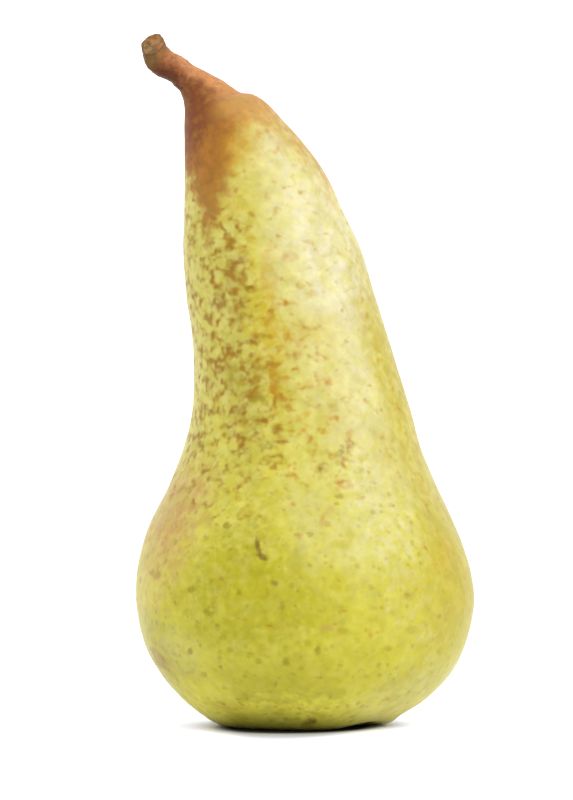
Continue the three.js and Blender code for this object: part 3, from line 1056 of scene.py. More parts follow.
@dataclass(frozen=True)
class Ground:
    """The bare skin: greener on the belly, paler and creamier up the right side of the neck (partly pale
    skin, partly a painted highlight), lighter towards the foot as painted light from the floor, and deeper
    at its rim.
    """

    belly: Colour = srgb(153, 147, 43)
    # The paler, creamier right side of the neck is partly the skin's own colour and partly a painted
    # highlight.
    neck_left: Colour = srgb(157, 149, 66)
    neck_right: Colour = srgb(160, 152, 97)
    neck_side: Span = (-0.5, 0.45)
    neck_height: Span = (20.0, 94.0)
    # Painted light: the skin turns lighter towards the foot, in place of light from the floor.
    lower: Colour = srgb(188, 180, 64)
    bounce_light_height: Span = (12.0, 3.0)
    bounce_light_strength: float = 0.9
    rim: Colour = srgb(132, 117, 9)
    rim_side: Span = (0.6, 0.97)
    rim_bottom: Span = (8.0, 26.0)
    rim_top: Span = (112.0, 90.0)
    rim_strength: float = 0.75
    back: Span = (0.1, -0.7)
    back_reach: float = 0.45
    drift: float = 0.4
    rim_drift: float = 0.4

    def lay(self, graph: Graph, spot: Spot) -> Socket:
        """Lay down the bare skin.

        Args:
            graph: The material's graph.
            spot: Where the shader is.

        Returns:
            The colour.
        """
        drift = graph.swing(graph.grain(spot.place, scale=0.07), self.drift)
        # Painted highlight in part: paler and creamier up the right side of the neck.
        rightness = graph.step(graph.maths("ADD", spot.side, drift), *self.neck_side)
        neck = graph.blend(rightness, self.neck_left, self.neck_right)
        colour = graph.blend(graph.step(spot.z, *self.neck_height), self.belly, neck)
        # Painted light from the floor: lighter towards the foot.
        low = graph.times(graph.step(spot.z, *self.bounce_light_height), self.bounce_light_strength)
        colour = graph.blend(low, colour, self.lower)
        round_back = graph.times(graph.step(spot.front, *self.back), self.back_reach)
        turned = graph.maths("MULTIPLY_ADD", drift, self.rim_drift, spot.side)
        turned = graph.maths("ADD", turned, round_back)
        rim = graph.times(graph.step(turned, *self.rim_side), graph.step(spot.z, *self.rim_bottom),
                          graph.step(spot.z, *self.rim_top), self.rim_strength)
        return graph.blend(rim, colour, self.rim)


@dataclass(frozen=True)
class Clouds:
    """Small lighter and greener patches that cloud the skin."""

    light: Colour = srgb(168, 162, 97)
    light_height: Span = (20.0, 70.0)
    light_strength: Span = (0.14, 0.44)
    lime: Colour = srgb(140, 133, 12)
    lime_strength: float = 0.35
    softness: float = 0.14

    def lay(self, graph: Graph, colour: Socket, spot: Spot) -> Socket:
        """Cloud the skin.

        Args:
            graph: The material's graph.
            colour: The colour underneath.
            spot: Where the shader is.

        Returns:
            The colour with clouds.
        """
        light = graph.effect(Effect.SMUDGE, Place=spot.place, Size=2.6, Level=0.53,
                             Softness=self.softness, Shift=21.0).outputs["Mask"]
        green = graph.effect(Effect.SMUDGE, Place=spot.place, Size=3.4, Level=0.56,
                             Softness=self.softness, Shift=37.0).outputs["Mask"]
        high = graph.between(graph.step(spot.z, *self.light_height), *self.light_strength)
        colour = graph.blend(graph.times(light, high), colour, self.light)
        colour = graph.blend(graph.times(green, self.lime_strength), colour, self.lime)
        colour = graph.toned(colour, spot.place, size=1.8, amount=0.16)
        return graph.toned(colour, spot.place, size=6.0, amount=0.14)


@dataclass(frozen=True)
class Freckles:
    """Broken flecks of cork that crowd the neck and thin out down the belly.

    Attributes:
        left: Their colour on the left side.
        right: Their colour on the right side.
        tint_side: Where one goes over into the other.
        by_height: How crowded they are at each height.
        by_side: How crowded they are from the left end of a section to its right end.
        bare_height: From where to where the upper neck grows bare.
        bare_side: The same from left to right.
        bare_share: How much of the crowd is missing there.
        clumps: How crowded they are outside and inside their clumps.
        level: The net's level where there are none and where they are most crowded.
        squash: What flattens them.
    """

    left: Colour = srgb(120, 88, 6)
    right: Colour = srgb(140, 104, 8)
    tint_side: Span = (-0.5, 0.1)
    by_height: tuple[Point, ...] = (
        (0, 0.0), (30, 0.06), (44, 0.35), (56, 0.7), (70, 0.9), (95, 0.85), (106, 0.65), (132, 0.45))
    by_side: tuple[Point, ...] = (
        (-1, 0.95), (-0.7, 1.0), (-0.42, 1.0), (-0.1, 0.75),
        (0.2, 0.45), (0.5, 0.12), (0.75, 0.15), (1, 0.5))
    bare_height: Span = (80.0, 92.0)
    bare_side: Span = (-0.35, -0.05)
    bare_share: float = 0.65
    clumps: Span = (0.75, 1.15)
    level: Span = (0.8, 0.57)
    squash: Triple = (1.0, 1.0, 1.2)

    def lay(self, graph: Graph, colour: Socket, spot: Spot) -> tuple[Socket, Socket]:
        """Scatter the flecks.

        Args:
            graph: The material's graph.
            colour: The colour underneath.
            spot: Where the shader is.

        Returns:
            The colour with flecks, and where they are.
        """
        crowd = graph.times(graph.curve(spot.z, self.by_height), graph.curve(spot.side, self.by_side))
        bare = graph.times(graph.step(spot.z, *self.bare_height), graph.step(spot.side, *self.bare_side),
                           -self.bare_share)
        crowd = graph.times(crowd, graph.maths("ADD", bare, 1.0))
        clump = graph.effect(Effect.SMUDGE, Place=spot.place, Size=6.0, Level=0.5, Softness=0.2, Shift=5.0)
        crowd = graph.times(crowd, graph.between(clump.outputs["Mask"], *self.clumps))
        flatter = graph.vector("MULTIPLY", spot.place, self.squash)
        level = graph.between(crowd, *self.level)
        net = graph.effect(Effect.NET, Place=flatter, Size=2.6, Level=level, Softness=0.17)
        flecks = net.outputs["Mask"]
        tint = graph.blend(graph.step(spot.side, *self.tint_side), self.left, self.right)
        tint = graph.toned(tint, spot.place, size=2.5, amount=0.4)
        return graph.blend(flecks, colour, tint), flecks


@dataclass(frozen=True)
class Pores:
    """Small dark pores, faint and close together or larger and apart, which show most on the belly."""

    tint: Colour = srgb(108, 97, 6)
    height: Span = (72.0, 42.0)
    faint: Span = (0.1, 0.4)
    bold: Span = (0.15, 0.55)
    bold_shift: Triple = (40.0, 7.0, 3.0)

    def lay(self, graph: Graph, colour: Socket, spot: Spot) -> tuple[Socket, Socket]:
        """Scatter the pores.

        Args:
            graph: The material's graph.
            colour: The colour underneath.
            spot: Where the shader is.

        Returns:
            The colour with pores, and where they are.
        """
        elsewhere = graph.vector("ADD", spot.place, self.bold_shift)
        small = graph.effect(Effect.DOTS, Place=spot.place, Spacing=2.0, Radius=0.75, Share=0.7)
        large = graph.effect(Effect.DOTS, Place=elsewhere, Spacing=5.5, Radius=0.7, Share=0.6, Wobble=1.1)
        faint = graph.times(small.outputs["Mask"], graph.between(small.outputs["Tone"], *self.faint))
        bold = graph.times(large.outputs["Mask"], graph.between(large.outputs["Tone"], *self.bold))
        mask = graph.times(graph.maths("MAXIMUM", faint, bold), graph.step(spot.z, *self.height))
        return graph.blend(mask, colour, self.tint), mask


@dataclass(frozen=True)
class Russeting:
    """The russet that covers the top and runs down one side of the neck in a tongue.

    Attributes:
        brown: Its colour.
        amber: Its colour along its edge, to the right of the tongue.
        light: Its lighter colour on the top of the shoulder, a painted highlight.
        edge: The height of its edge on the front, at each x.
        edge_reach: The lowest and the highest height that the edge may have.
        back_edge: The height of its edge on the back.
        facing: From where to where the back goes over into the front.
        wave: How far the edge wanders up and down.
        scatter: How far it breaks up into spots.
        fade: How deep inside the edge it starts and is full.
        amber_depth: How deep inside the edge the amber ends and is full.
        amber_x: From where to where the amber starts.
        shoulder_highlight_height: From where to where the light colour starts, going up.
        shoulder_highlight_side: The same from left to right.
        shoulder_highlight_strength: How strongly it shows.
        stalk_height: From where to where the browns of the stalk take over.
        stalk_turn: How far the browns of the stalk lean towards their painted highlight here.
        strong_height: From where to where the russet grows stronger.
        strength: How strongly it shows at both.
        stalk: The browns of the stalk.
    """

    brown: Colour = srgb(122, 73, 15)
    amber: Colour = srgb(144, 111, 44)
    light: Colour = srgb(145, 99, 48)
    edge: tuple[Point, ...] = (
        (-26, 109), (-22.6, 108), (-21.2, 104.5), (-19, 99.5), (-17.4, 103.5), (-15.9, 107.5),
        (-13.9, 112), (-10.9, 118.5), (-6.9, 121), (-4, 119.4), (0, 115), (6, 107))
    edge_reach: Span = (94.0, 128.0)
    back_edge: float = 113.0
    facing: Span = (-0.2, 0.3)
    wave: float = 6.0
    scatter: float = 2.0
    fade: Span = (-5.0, 5.5)
    amber_depth: Span = (12.0, 3.0)
    amber_x: Span = (-18.0, -13.5)
    shoulder_highlight_height: Span = (118.0, 124.0)
    shoulder_highlight_side: Span = (-0.45, 0.6)
    shoulder_highlight_strength: float = 0.8
    stalk_height: Span = (124.0, 129.0)
    stalk_turn: float = 0.25
    strong_height: Span = (100.0, 116.0)
    strength: Span = (0.8, 0.95)
    stalk: Stalk = Stalk()

    def depth(self, graph: Graph, spot: Spot) -> Socket:
        """Measure how far inside the russet's edge the spot is.

        Args:
            graph: The material's graph.
            spot: Where the shader is.

        Returns:
            The distance, in millimetres. It is below 0 outside the edge.
        """
        low, high = self.edge_reach
        edge = graph.curve(spot.x, tuple((x, (z - low) / (high - low)) for x, z in self.edge))
        edge = graph.between(edge, low, high)
        ahead = graph.step(spot.front, *self.facing)
        edge = graph.node("ShaderNodeMix", {0: ahead, 2: self.back_edge, 3: edge}).outputs[0]
        wavy = graph.swing(graph.grain(spot.place, scale=0.35, detail=4.0, warp=0.4), self.wave)
        depth = graph.maths("SUBTRACT", graph.maths("ADD", spot.z, wavy), edge)
        return graph.maths("ADD", depth, graph.swing(spot.broken, self.scatter))

    def lay(self, graph: Graph, colour: Socket, spot: Spot) -> tuple[Socket, Socket]:
        """Lay the russet on.

        Args:
            graph: The material's graph.
            colour: The colour underneath.
            spot: Where the shader is.

        Returns:
            The colour with russet, and how much russet there is.
        """
        depth = self.depth(graph, spot)
        mask = graph.step(depth, *self.fade)
        amber = graph.times(graph.step(depth, *self.amber_depth), graph.step(spot.x, *self.amber_x))
        tint = graph.blend(amber, self.brown, self.amber)
        # Painted highlight: the russet is lighter on the top and the right of the shoulder.
        painted_light = graph.times(graph.step(spot.z, *self.shoulder_highlight_height), graph.step(spot.side, *self.shoulder_highlight_side))
        tint = graph.blend(graph.times(painted_light, self.shoulder_highlight_strength), tint, self.light)
        tint = graph.toned(tint, spot.place, size=2.4, amount=0.5)
        # The stalk's browns, with their painted highlight and shade.
        stalk = self.stalk.colour(graph, spot.place, graph.maths("ADD", spot.side, self.stalk_turn))
        tint = graph.blend(graph.step(spot.z, *self.stalk_height), tint, stalk)
        strong = graph.between(graph.step(spot.z, *self.strong_height), *self.strength)
        return graph.blend(graph.times(mask, strong), colour, tint), mask


@dataclass(frozen=True)
class SkinFinish:
    """The pear's skin: waxy green-yellow, freckled, with russet round the stem."""

    ground: Ground = Ground()
    clouds: Clouds = Clouds()
    freckles: Freckles = Freckles()
    pores: Pores = Pores()
    russeting: Russeting = Russeting()
    patches_front: Span = (-0.6, 0.0)
    specks_strength: float = 0.75
    # Painted shade: near the floor the skin darkens towards this near-black brown.
    foot: Colour = srgb(28, 23, 4)
    foot_shade_height: Span = (3.6, 0.4)
    foot_shade_strength: float = 0.3
    roughness: float = 0.4
    russet_roughness: float = 0.6
    fleck_dullness: float = 0.5
    sheen_swing: float = 0.05
    pebble_height: float = 0.5
    pore_depth: float = 0.5
    fleck_height: float = 0.25
    bump: float = 0.08
    specular: float = 0.16
    subsurface: float = 0.1
    subsurface_radius: Triple = (1.0, 0.7, 0.2)
    subsurface_scale: float = 2.0

    def material(self, marks: dict[Mark, Triple]) -> bpy.types.Material:
        """Build the material.

        Args:
            marks: The point of the surface where each of the pear's own marks lies.

        Returns:
            The material.
        """
        made, graph, shader, place = new_material("pear_skin")
        spot = Spot.on(graph, place)
        colour = self.ground.lay(graph, spot)
        ahead = graph.step(spot.front, *self.patches_front)
        colour = draw_marks(graph, colour, spot, PATCHES, marks, ahead)
        colour = self.clouds.lay(graph, colour, spot)
        colour, fleck = self.freckles.lay(graph, colour, spot)
        colour, pore = self.pores.lay(graph, colour, spot)
        colour = draw_marks(graph, colour, spot, BLOTCHES, marks, spot.broken)
        colour = draw_marks(graph, colour, spot, SPECKS, marks, self.specks_strength)
        colour, russet = self.russeting.lay(graph, colour, spot)
        colour = draw_marks(graph, colour, spot, RUSSETS, marks, russet)
        # Painted shade: darken the skin just above the floor.
        foot = graph.times(graph.step(spot.z, *self.foot_shade_height), self.foot_shade_strength)
        graph.feed(shader.inputs["Base Color"], graph.blend(foot, colour, self.foot))

        dull = graph.maths("MAXIMUM", russet, graph.times(fleck, self.fleck_dullness))
        rough = graph.between(dull, self.roughness, self.russet_roughness)
        sheen = graph.swing(graph.grain(place, scale=0.25), self.sheen_swing)
        graph.feed(shader.inputs["Roughness"], graph.maths("ADD", rough, sheen))

        pebble = graph.effect(Effect.PEBBLE, Place=place, Size=0.9, Roughness=0.5).outputs["Height"]
        bark = graph.effect(Effect.PEBBLE, Place=place, Size=0.45, Roughness=1.0).outputs["Height"]
        height = graph.times(pebble, self.pebble_height)
        height = graph.maths("SUBTRACT", height, graph.times(pore, self.pore_depth))
        height = graph.maths("ADD", height, graph.times(fleck, self.fleck_height))
        height = graph.maths("ADD", height, graph.times(russet, bark))
        bumped(graph, shader, height, self.bump)
        shader.inputs["Specular IOR Level"].default_value = self.specular
        shader.inputs["Subsurface Weight"].default_value = self.subsurface
        shader.inputs["Subsurface Radius"].default_value = self.subsurface_radius
        shader.inputs["Subsurface Scale"].default_value = self.subsurface_scale * MM
        return made


@dataclass(frozen=True)
class BarkFinish:
    """The woody stem: ridged brown bark with painted highlight and shade, and a paler cut end with a dark
    rim.

    Along the stem a value is 0 at the joint and 1 at the cut end. Inward it is 0 at the rim of the cut
    face and 1 at its middle.
    """

    stalk: Stalk = Stalk()
    # How far the stalk's painted highlight and shade shift along the stem: lighter at the joint, darker
    # further on.
    stalk_along: Span = (0.0, 0.35)
    stalk_turn: Span = (0.25, -0.25)
    # Painted shade and highlight on the knob: darker on its underside, lighter on its upper side.
    knob_shaded: Colour = srgb(88, 62, 27)
    knob_lit: Colour = srgb(108, 69, 32)
    knob_side: Span = (-0.4, 0.3)
    knob_along: Span = (0.5, 0.82)
    # Painted highlight in patches on the upper side of the stem.
    light: Colour = srgb(154, 106, 72)
    stem_highlight_side: Span = (0.0, 0.6)
    stem_highlight_along: Span = (0.9, 0.6)
    light_strength: float = 0.6
    wood: Colour = srgb(122, 90, 48)
    wood_inward: Span = (0.08, 0.3)
    wood_strength: float = 0.8
    dark: Colour = srgb(69, 37, 14)
    dark_along: Span = (0.93, 0.99)
    dark_inward: Span = (0.25, 0.05)
    dark_strength: float = 0.55
    roughness: Span = (0.55, 0.85)
    bump: float = 0.12
    specular: float = 0.2

    def material(self) -> bpy.types.Material:
        """Build the material."""
        made, graph, shader, place = new_material("stem_bark")
        side, along, inward = (graph.node("ShaderNodeAttribute", attribute_name=name).outputs["Fac"]
                               for name in ("side", "along", "inward"))
        scale = graph.effect(Effect.SMUDGE, Place=place, Size=1.6, Level=0.5, Softness=0.14, Detail=4.0)
        turn = graph.between(graph.step(along, *self.stalk_along), *self.stalk_turn)
        colour = self.stalk.colour(graph, place, graph.maths("ADD", turn, side))
        # Painted shade below and painted highlight above, on the knob.
        knob = graph.blend(graph.step(side, *self.knob_side), self.knob_shaded, self.knob_lit)
        colour = graph.blend(graph.step(along, *self.knob_along), colour, knob)
        # Painted highlight on the upper side of the stem.
        top = graph.times(scale.outputs["Mask"], graph.step(side, *self.stem_highlight_side),
                          graph.step(along, *self.stem_highlight_along), self.light_strength)
        colour = graph.blend(top, colour, self.light)
        streak = graph.effect(Effect.SMUDGE, Place=place, Size=1.3, Level=0.52, Softness=0.1, Shift=3.0)
        face = graph.times(graph.step(inward, *self.wood_inward), streak.outputs["Mask"])
        colour = graph.blend(graph.times(face, self.wood_strength), colour, self.wood)
        rim = graph.times(graph.step(along, *self.dark_along), graph.step(inward, *self.dark_inward))
        colour = graph.blend(graph.times(rim, self.dark_strength), colour, self.dark)
        graph.feed(shader.inputs["Base Color"], graph.toned(colour, place, size=1.1, amount=0.5))
        graph.feed(shader.inputs["Roughness"], graph.between(scale.outputs["Raw"], *self.roughness))
        height = graph.effect(Effect.PEBBLE, Place=place, Size=0.4, Roughness=0.8).outputs["Height"]
        bumped(graph, shader, graph.maths("ADD", height, scale.outputs["Mask"]), self.bump)
        shader.inputs["Specular IOR Level"].default_value = self.specular
        return made


@dataclass(frozen=True)
class DriedFinish:
    """Dried flower parts: dark, dull brown with paler patches."""

    brown: Colour = srgb(71, 50, 30)
    pale: Colour = srgb(124, 97, 64)
    pale_strength: float = 0.6
    roughness: Span = (0.7, 0.9)
    bump: float = 0.15

    def material(self) -> bpy.types.Material:
        """Build the material."""
        made, graph, shader, place = new_material("dried_sepal")
        patch = graph.effect(Effect.SMUDGE, Place=place, Size=1.0, Level=0.55, Softness=0.15, Shift=5.0)
        colour = graph.blend(graph.times(patch.outputs["Mask"], self.pale_strength), self.brown, self.pale)
        graph.feed(shader.inputs["Base Color"], graph.toned(colour, place, size=0.8, amount=0.4))
        graph.feed(shader.inputs["Roughness"], graph.between(patch.outputs["Raw"], *self.roughness))
        height = graph.effect(Effect.PEBBLE, Place=place, Size=0.35, Roughness=1.0).outputs["Height"]
        bumped(graph, shader, height, self.bump)
        return made


@dataclass(frozen=True)
class Oval:
    """An oval of painted shadow on the floor round the foot, which fades out at its edge.

    Attributes:
        squeeze: What makes the oval out of a circle: a factor across and one to the back.
        edge: How far out it starts and where it is full, in millimetres.
        strength: How strongly it shows, from 0 to 1.
    """

    squeeze: Triple
    edge: Span
    strength: float = 1.0

    def reach(self, graph: Graph, place: Socket) -> Socket:
        """Return how far out a place is, measured across."""
        return graph.length(graph.vector("MULTIPLY", place, self.squeeze))

    def mask(self, graph: Graph, place: Socket) -> Socket:
        """Return how strongly the oval shows at a place."""
        return graph.times(graph.step(self.reach(graph, place), *self.edge), self.strength)


@dataclass(frozen=True)
class FloorFinish:
    """The plain white studio floor, with a painted shadow under the pear.

    Attributes:
        white: The floor's colour.
        gap: Its colour in the painted shadow under the pear.
        centre: The middle of the ovals of painted shadow.
        skew: How far the ovals lean to the right, for each millimetre to the back.
        shade: The wide, weak oval of painted shadow.
        dark: The narrow, strong one, a painted contact shadow.
        cool: A faint light round the dark oval, which takes the yellow cast of the pear off the floor.
        cool_start: From how far out to how far out this light starts.
        cool_end: From how far out to how far out it ends.
        roughness: The roughness.
        specular: The specular level.
    """

    white: Colour = (0.95, 0.95, 0.95, 1.0)
    gap: Colour = (0.02, 0.02, 0.02, 1.0)
    centre: Point = (-1.0, -3.0)
    skew: float = 0.13
    shade: Oval = Oval((1.35, 0.5, 0.0), (25.0, 13.0), 0.6)
    dark: Oval = Oval((1.0, 0.78, 0.0), (17.6, 13.0))
    cool: Triple = (0.0, 0.012, 0.21)
    cool_start: Span = (17.0, 21.0)
    cool_end: Span = (70.0, 40.0)
    roughness: float = 0.9
    specular: float = 0.1

    def material(self) -> bpy.types.Material:
        """Build the material."""
        made, graph, shader, place = new_material("studio_floor")
        colour = graph.toned(self.white, place, size=90.0, amount=0.01)
        x, y, _ = graph.node("ShaderNodeSeparateXYZ", {0: place}).outputs
        across = graph.maths("SUBTRACT", graph.maths("MULTIPLY_ADD", y, -self.skew, x), self.centre[0])
        deep = graph.maths("SUBTRACT", y, self.centre[1])
        spot = graph.node("ShaderNodeCombineXYZ", {0: across, 1: deep}).outputs[0]
        # Paint the shadow under the pear onto the floor.
        for oval in (self.shade, self.dark):
            colour = graph.blend(oval.mask(graph, spot), colour, self.gap)
        graph.feed(shader.inputs["Base Color"], colour)
        reach = self.dark.reach(graph, spot)
        seen = graph.node("ShaderNodeLightPath").outputs["Is Camera Ray"]
        ring = graph.times(graph.step(reach, *self.cool_start), graph.step(reach, *self.cool_end), seen)
        glow = graph.scaled(graph.vector("MULTIPLY", colour, self.cool), ring)
        graph.feed(shader.inputs["Emission Color"], glow)
        shader.inputs["Emission Strength"].default_value = 1.0
        shader.inputs["Roughness"].default_value = self.roughness
        shader.inputs["Specular IOR Level"].default_value = self.specular
        return made


# ---------------------------------------------------------------------------- the pear

def join_part(piece: bpy.types.Object, node: str, look: bpy.types.Material) -> None:
    """Put a finished piece on the pear.

    Args:
        piece: The piece.
        node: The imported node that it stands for.
        look: Its material.
    """
    piece.data.materials.append(look)
    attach(piece, BODY)
    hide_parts(node)
    LOG.info("%s: %d faces, stands for %s", piece.name, len(piece.data.polygons), node)


@dataclass(frozen=True)
class Sight:
    """The view in which the marks of the front are placed, from far off and a little above.

    Attributes:
        distance: How far off it is, in millimetres.
        x: How far to the right it looks.
        z: How high it looks.
        rise: How much higher a place shows for each millimetre to the back.
    """

    distance: float = 1778.0
    x: float = -3.6
    z: float = 64.9
    rise: float = 0.035

    def shown(self, points: np.ndarray) -> np.ndarray:
        """Find where points show.

        Args:
            points: The x, y and z of each, in millimetres.

        Returns:
            The (x, z) at which each shows.
        """
        near = self.distance / (self.distance + points[:, 1])
        x = self.x + (points[:, 0] - self.x) * near
        z = self.z + (points[:, 2] - self.z + self.rise * points[:, 1]) * near
        return np.stack([x, z], 1)


@dataclass
class Fruit:
    """Skin and flesh: the belly, the neck, the fleshy base of the stem and the basin underneath.

    Attributes:
        sides: How many points a ring has.
        steps: How many steps lie between two sections.
        lobes: The lobes round the foot.
        lobe_reach: How high up they reach.
        swells: The swells of the belly and the neck.
        lump_height: The height of the wide lumps.
        lump_size: How far apart they are.
        dimple_height: The height of the small ones.
        dimple_size: How far apart they are.
        level_height: From where to where the lumps start, above the foot.
        level_middle: The same from the middle of the basin outward.
        joint_swell: How much wider the flesh is where it folds into the stem.
        flesh_end: How much thinner it is at its end on the stem.
        mark_back: How far to the back a mark can lie.
        mark_height: How high a mark lies at least, unless it is outside the foot.
        sight: The view that the marks are placed in.
        finish: Its finish.
        rings: The points of its surface, once it is built.
    """

    sides: int = 288
    steps: int = 9
    lobes: Wave = Wave(0.02, 5, start=0.6)
    lobe_reach: float = 18.0
    swells: tuple[Wave, ...] = (Wave(0.006, 3, 0.09, -QUARTER), Wave(0.004, 2, -0.13, 1.0 - QUARTER))
    lump_height: float = 0.16
    lump_size: float = 11.0
    dimple_height: float = 0.05
    dimple_size: float = 3.4
    level_height: Span = (0.3, 4.0)
    level_middle: Span = (4.0, 9.0)
    joint_swell: float = 0.02
    flesh_end: float = 0.16
    mark_back: float = 1.0
    mark_height: float = 8.0
    sight: Sight = Sight()
    finish: SkinFinish = SkinFinish()
    rings: np.ndarray = field(init=False)

    def relief(self, angle: np.ndarray, height: np.ndarray) -> np.ndarray:
        """Return the faint swells and lobes of the flesh, as a factor on the radius.

        Args:
            angle: The angle of each point of a ring.
            height: The height of each ring.

        Returns:
            The factor for each ring and angle.
        """
        turn, level = angle[None], height[:, None]
        low = np.exp(-((level / self.lobe_reach) ** 2))
        return 1 + self.lobes.at(turn) * low + sum(wave.at(turn, level) for wave in self.swells)

    def gather(self, angle: np.ndarray, rows: int) -> np.ndarray:
        """Return how the flesh folds into the stem and thins out along its foot.

        Args:
            angle: The angle of each point of a ring.
            rows: How many rings the fruit has.

        Returns:
            The change of the radius factor for each ring and angle.
        """
        row = np.arange(rows, dtype=float)[:, None]
        joint = rows - 1.0 - self.steps
        near = ease(row, joint - JOINT_SECTIONS * self.steps, joint)
        thin = self.flesh_end * np.clip(row - joint, 0, None) / self.steps
        return near * (joint_folds(angle)[None] + self.joint_swell) - thin

    def shape(self) -> np.ndarray:
        """Return the points of the surface, as rings in millimetres."""
        rings = Rings.through(FRUIT_SECTIONS + STEM_SECTIONS[1:2], self.steps, self.sides)
        height = rings.height
        share = np.clip((height - NECK_LOW) / (NECK_HIGH - NECK_LOW), 0, 1)
        back = NECK_SET_BACK * np.sin(np.pi * share)
        relief = self.relief(rings.angle, height) + self.gather(rings.angle, len(height))
        points = rings.points(relief, back, np.zeros(len(height)))
        width = (rings.right[:, 0] - rings.left[:, 0]) / 2
        turn = (rings.angle - FOOT_LIFT_ANGLE + np.pi) % (2 * np.pi) - np.pi
        edge = np.exp(-(((width - REST_OUTER) / FOOT_LIFT_REACH) ** 2)) * (height < NECK_LOW)
        lift = FOOT_LIFT * np.exp(-((turn / FOOT_LIFT_SPREAD) ** 2))[None] * edge[:, None]
        points[..., 2] = np.maximum(points[..., 2], 0) + lift
        return points

    def weather(self, points: np.ndarray) -> np.ndarray:
        """Add the small unevenness of real skin, but none where the pear stands.

        Args:
            points: The points of the surface.

        Returns:
            The points, moved along the surface's normals.
        """
        round_way = np.roll(points, -1, 1) - np.roll(points, 1, 1)
        up_way = np.gradient(points, axis=0)
        normal = np.cross(round_way, up_way)
        normal /= np.maximum(np.linalg.norm(normal, axis=2, keepdims=True), 1e-9)
        across = np.linalg.norm(points[..., :2], axis=2)
        free = ease(points[..., 2], *self.level_height) * ease(across, *self.level_middle)
        push = self.lump_height * lumps(points, self.lump_size, seed=3.1)
        push += self.dimple_height * lumps(points, self.dimple_size, seed=7.7)
        return points + normal * (push * free)[..., None]

    def find(self, marks: tuple[Mark, ...]) -> dict[Mark, Triple]:
        """Find the point of the front where each mark shows.

        Args:
            marks: The marks.

        Returns:
            The point of each, in millimetres.
        """
        across = np.linalg.norm(self.rings[..., :2], axis=2)
        outside = (across > REST_OUTER) | (self.rings[..., 2] > self.mark_height)
        front = self.rings[(self.rings[..., 1] < self.mark_back) & outside]
        shown = self.sight.shown(front)
        found = {}
        for mark in marks:
            nearest = np.hypot(*(shown - mark.place).T).argmin()
            found[mark] = tuple(front[nearest].tolist())
        return found

    def build(self) -> bpy.types.Object:
        """Build the mesh, with how far to the side and to the front each point is."""
        self.rings = self.weather(self.shape())
        rings = self.rings[1:]
        piece = loft_mesh("fruit_skin", rings)
        angle = round_angles(self.sides)
        add_values(piece, "side", np.tile(np.cos(angle), len(rings)), 0.0)
        add_values(piece, "front", np.tile(-np.sin(angle), len(rings)), 0.0)
        return piece

    def dress(self, piece: bpy.types.Object) -> None:
        """Give the piece its finish and put it on the pear."""
        marks = self.find(PATCHES + BLOTCHES + SPECKS + RUSSETS)
        join_part(piece, "fruit", self.finish.material(marks))


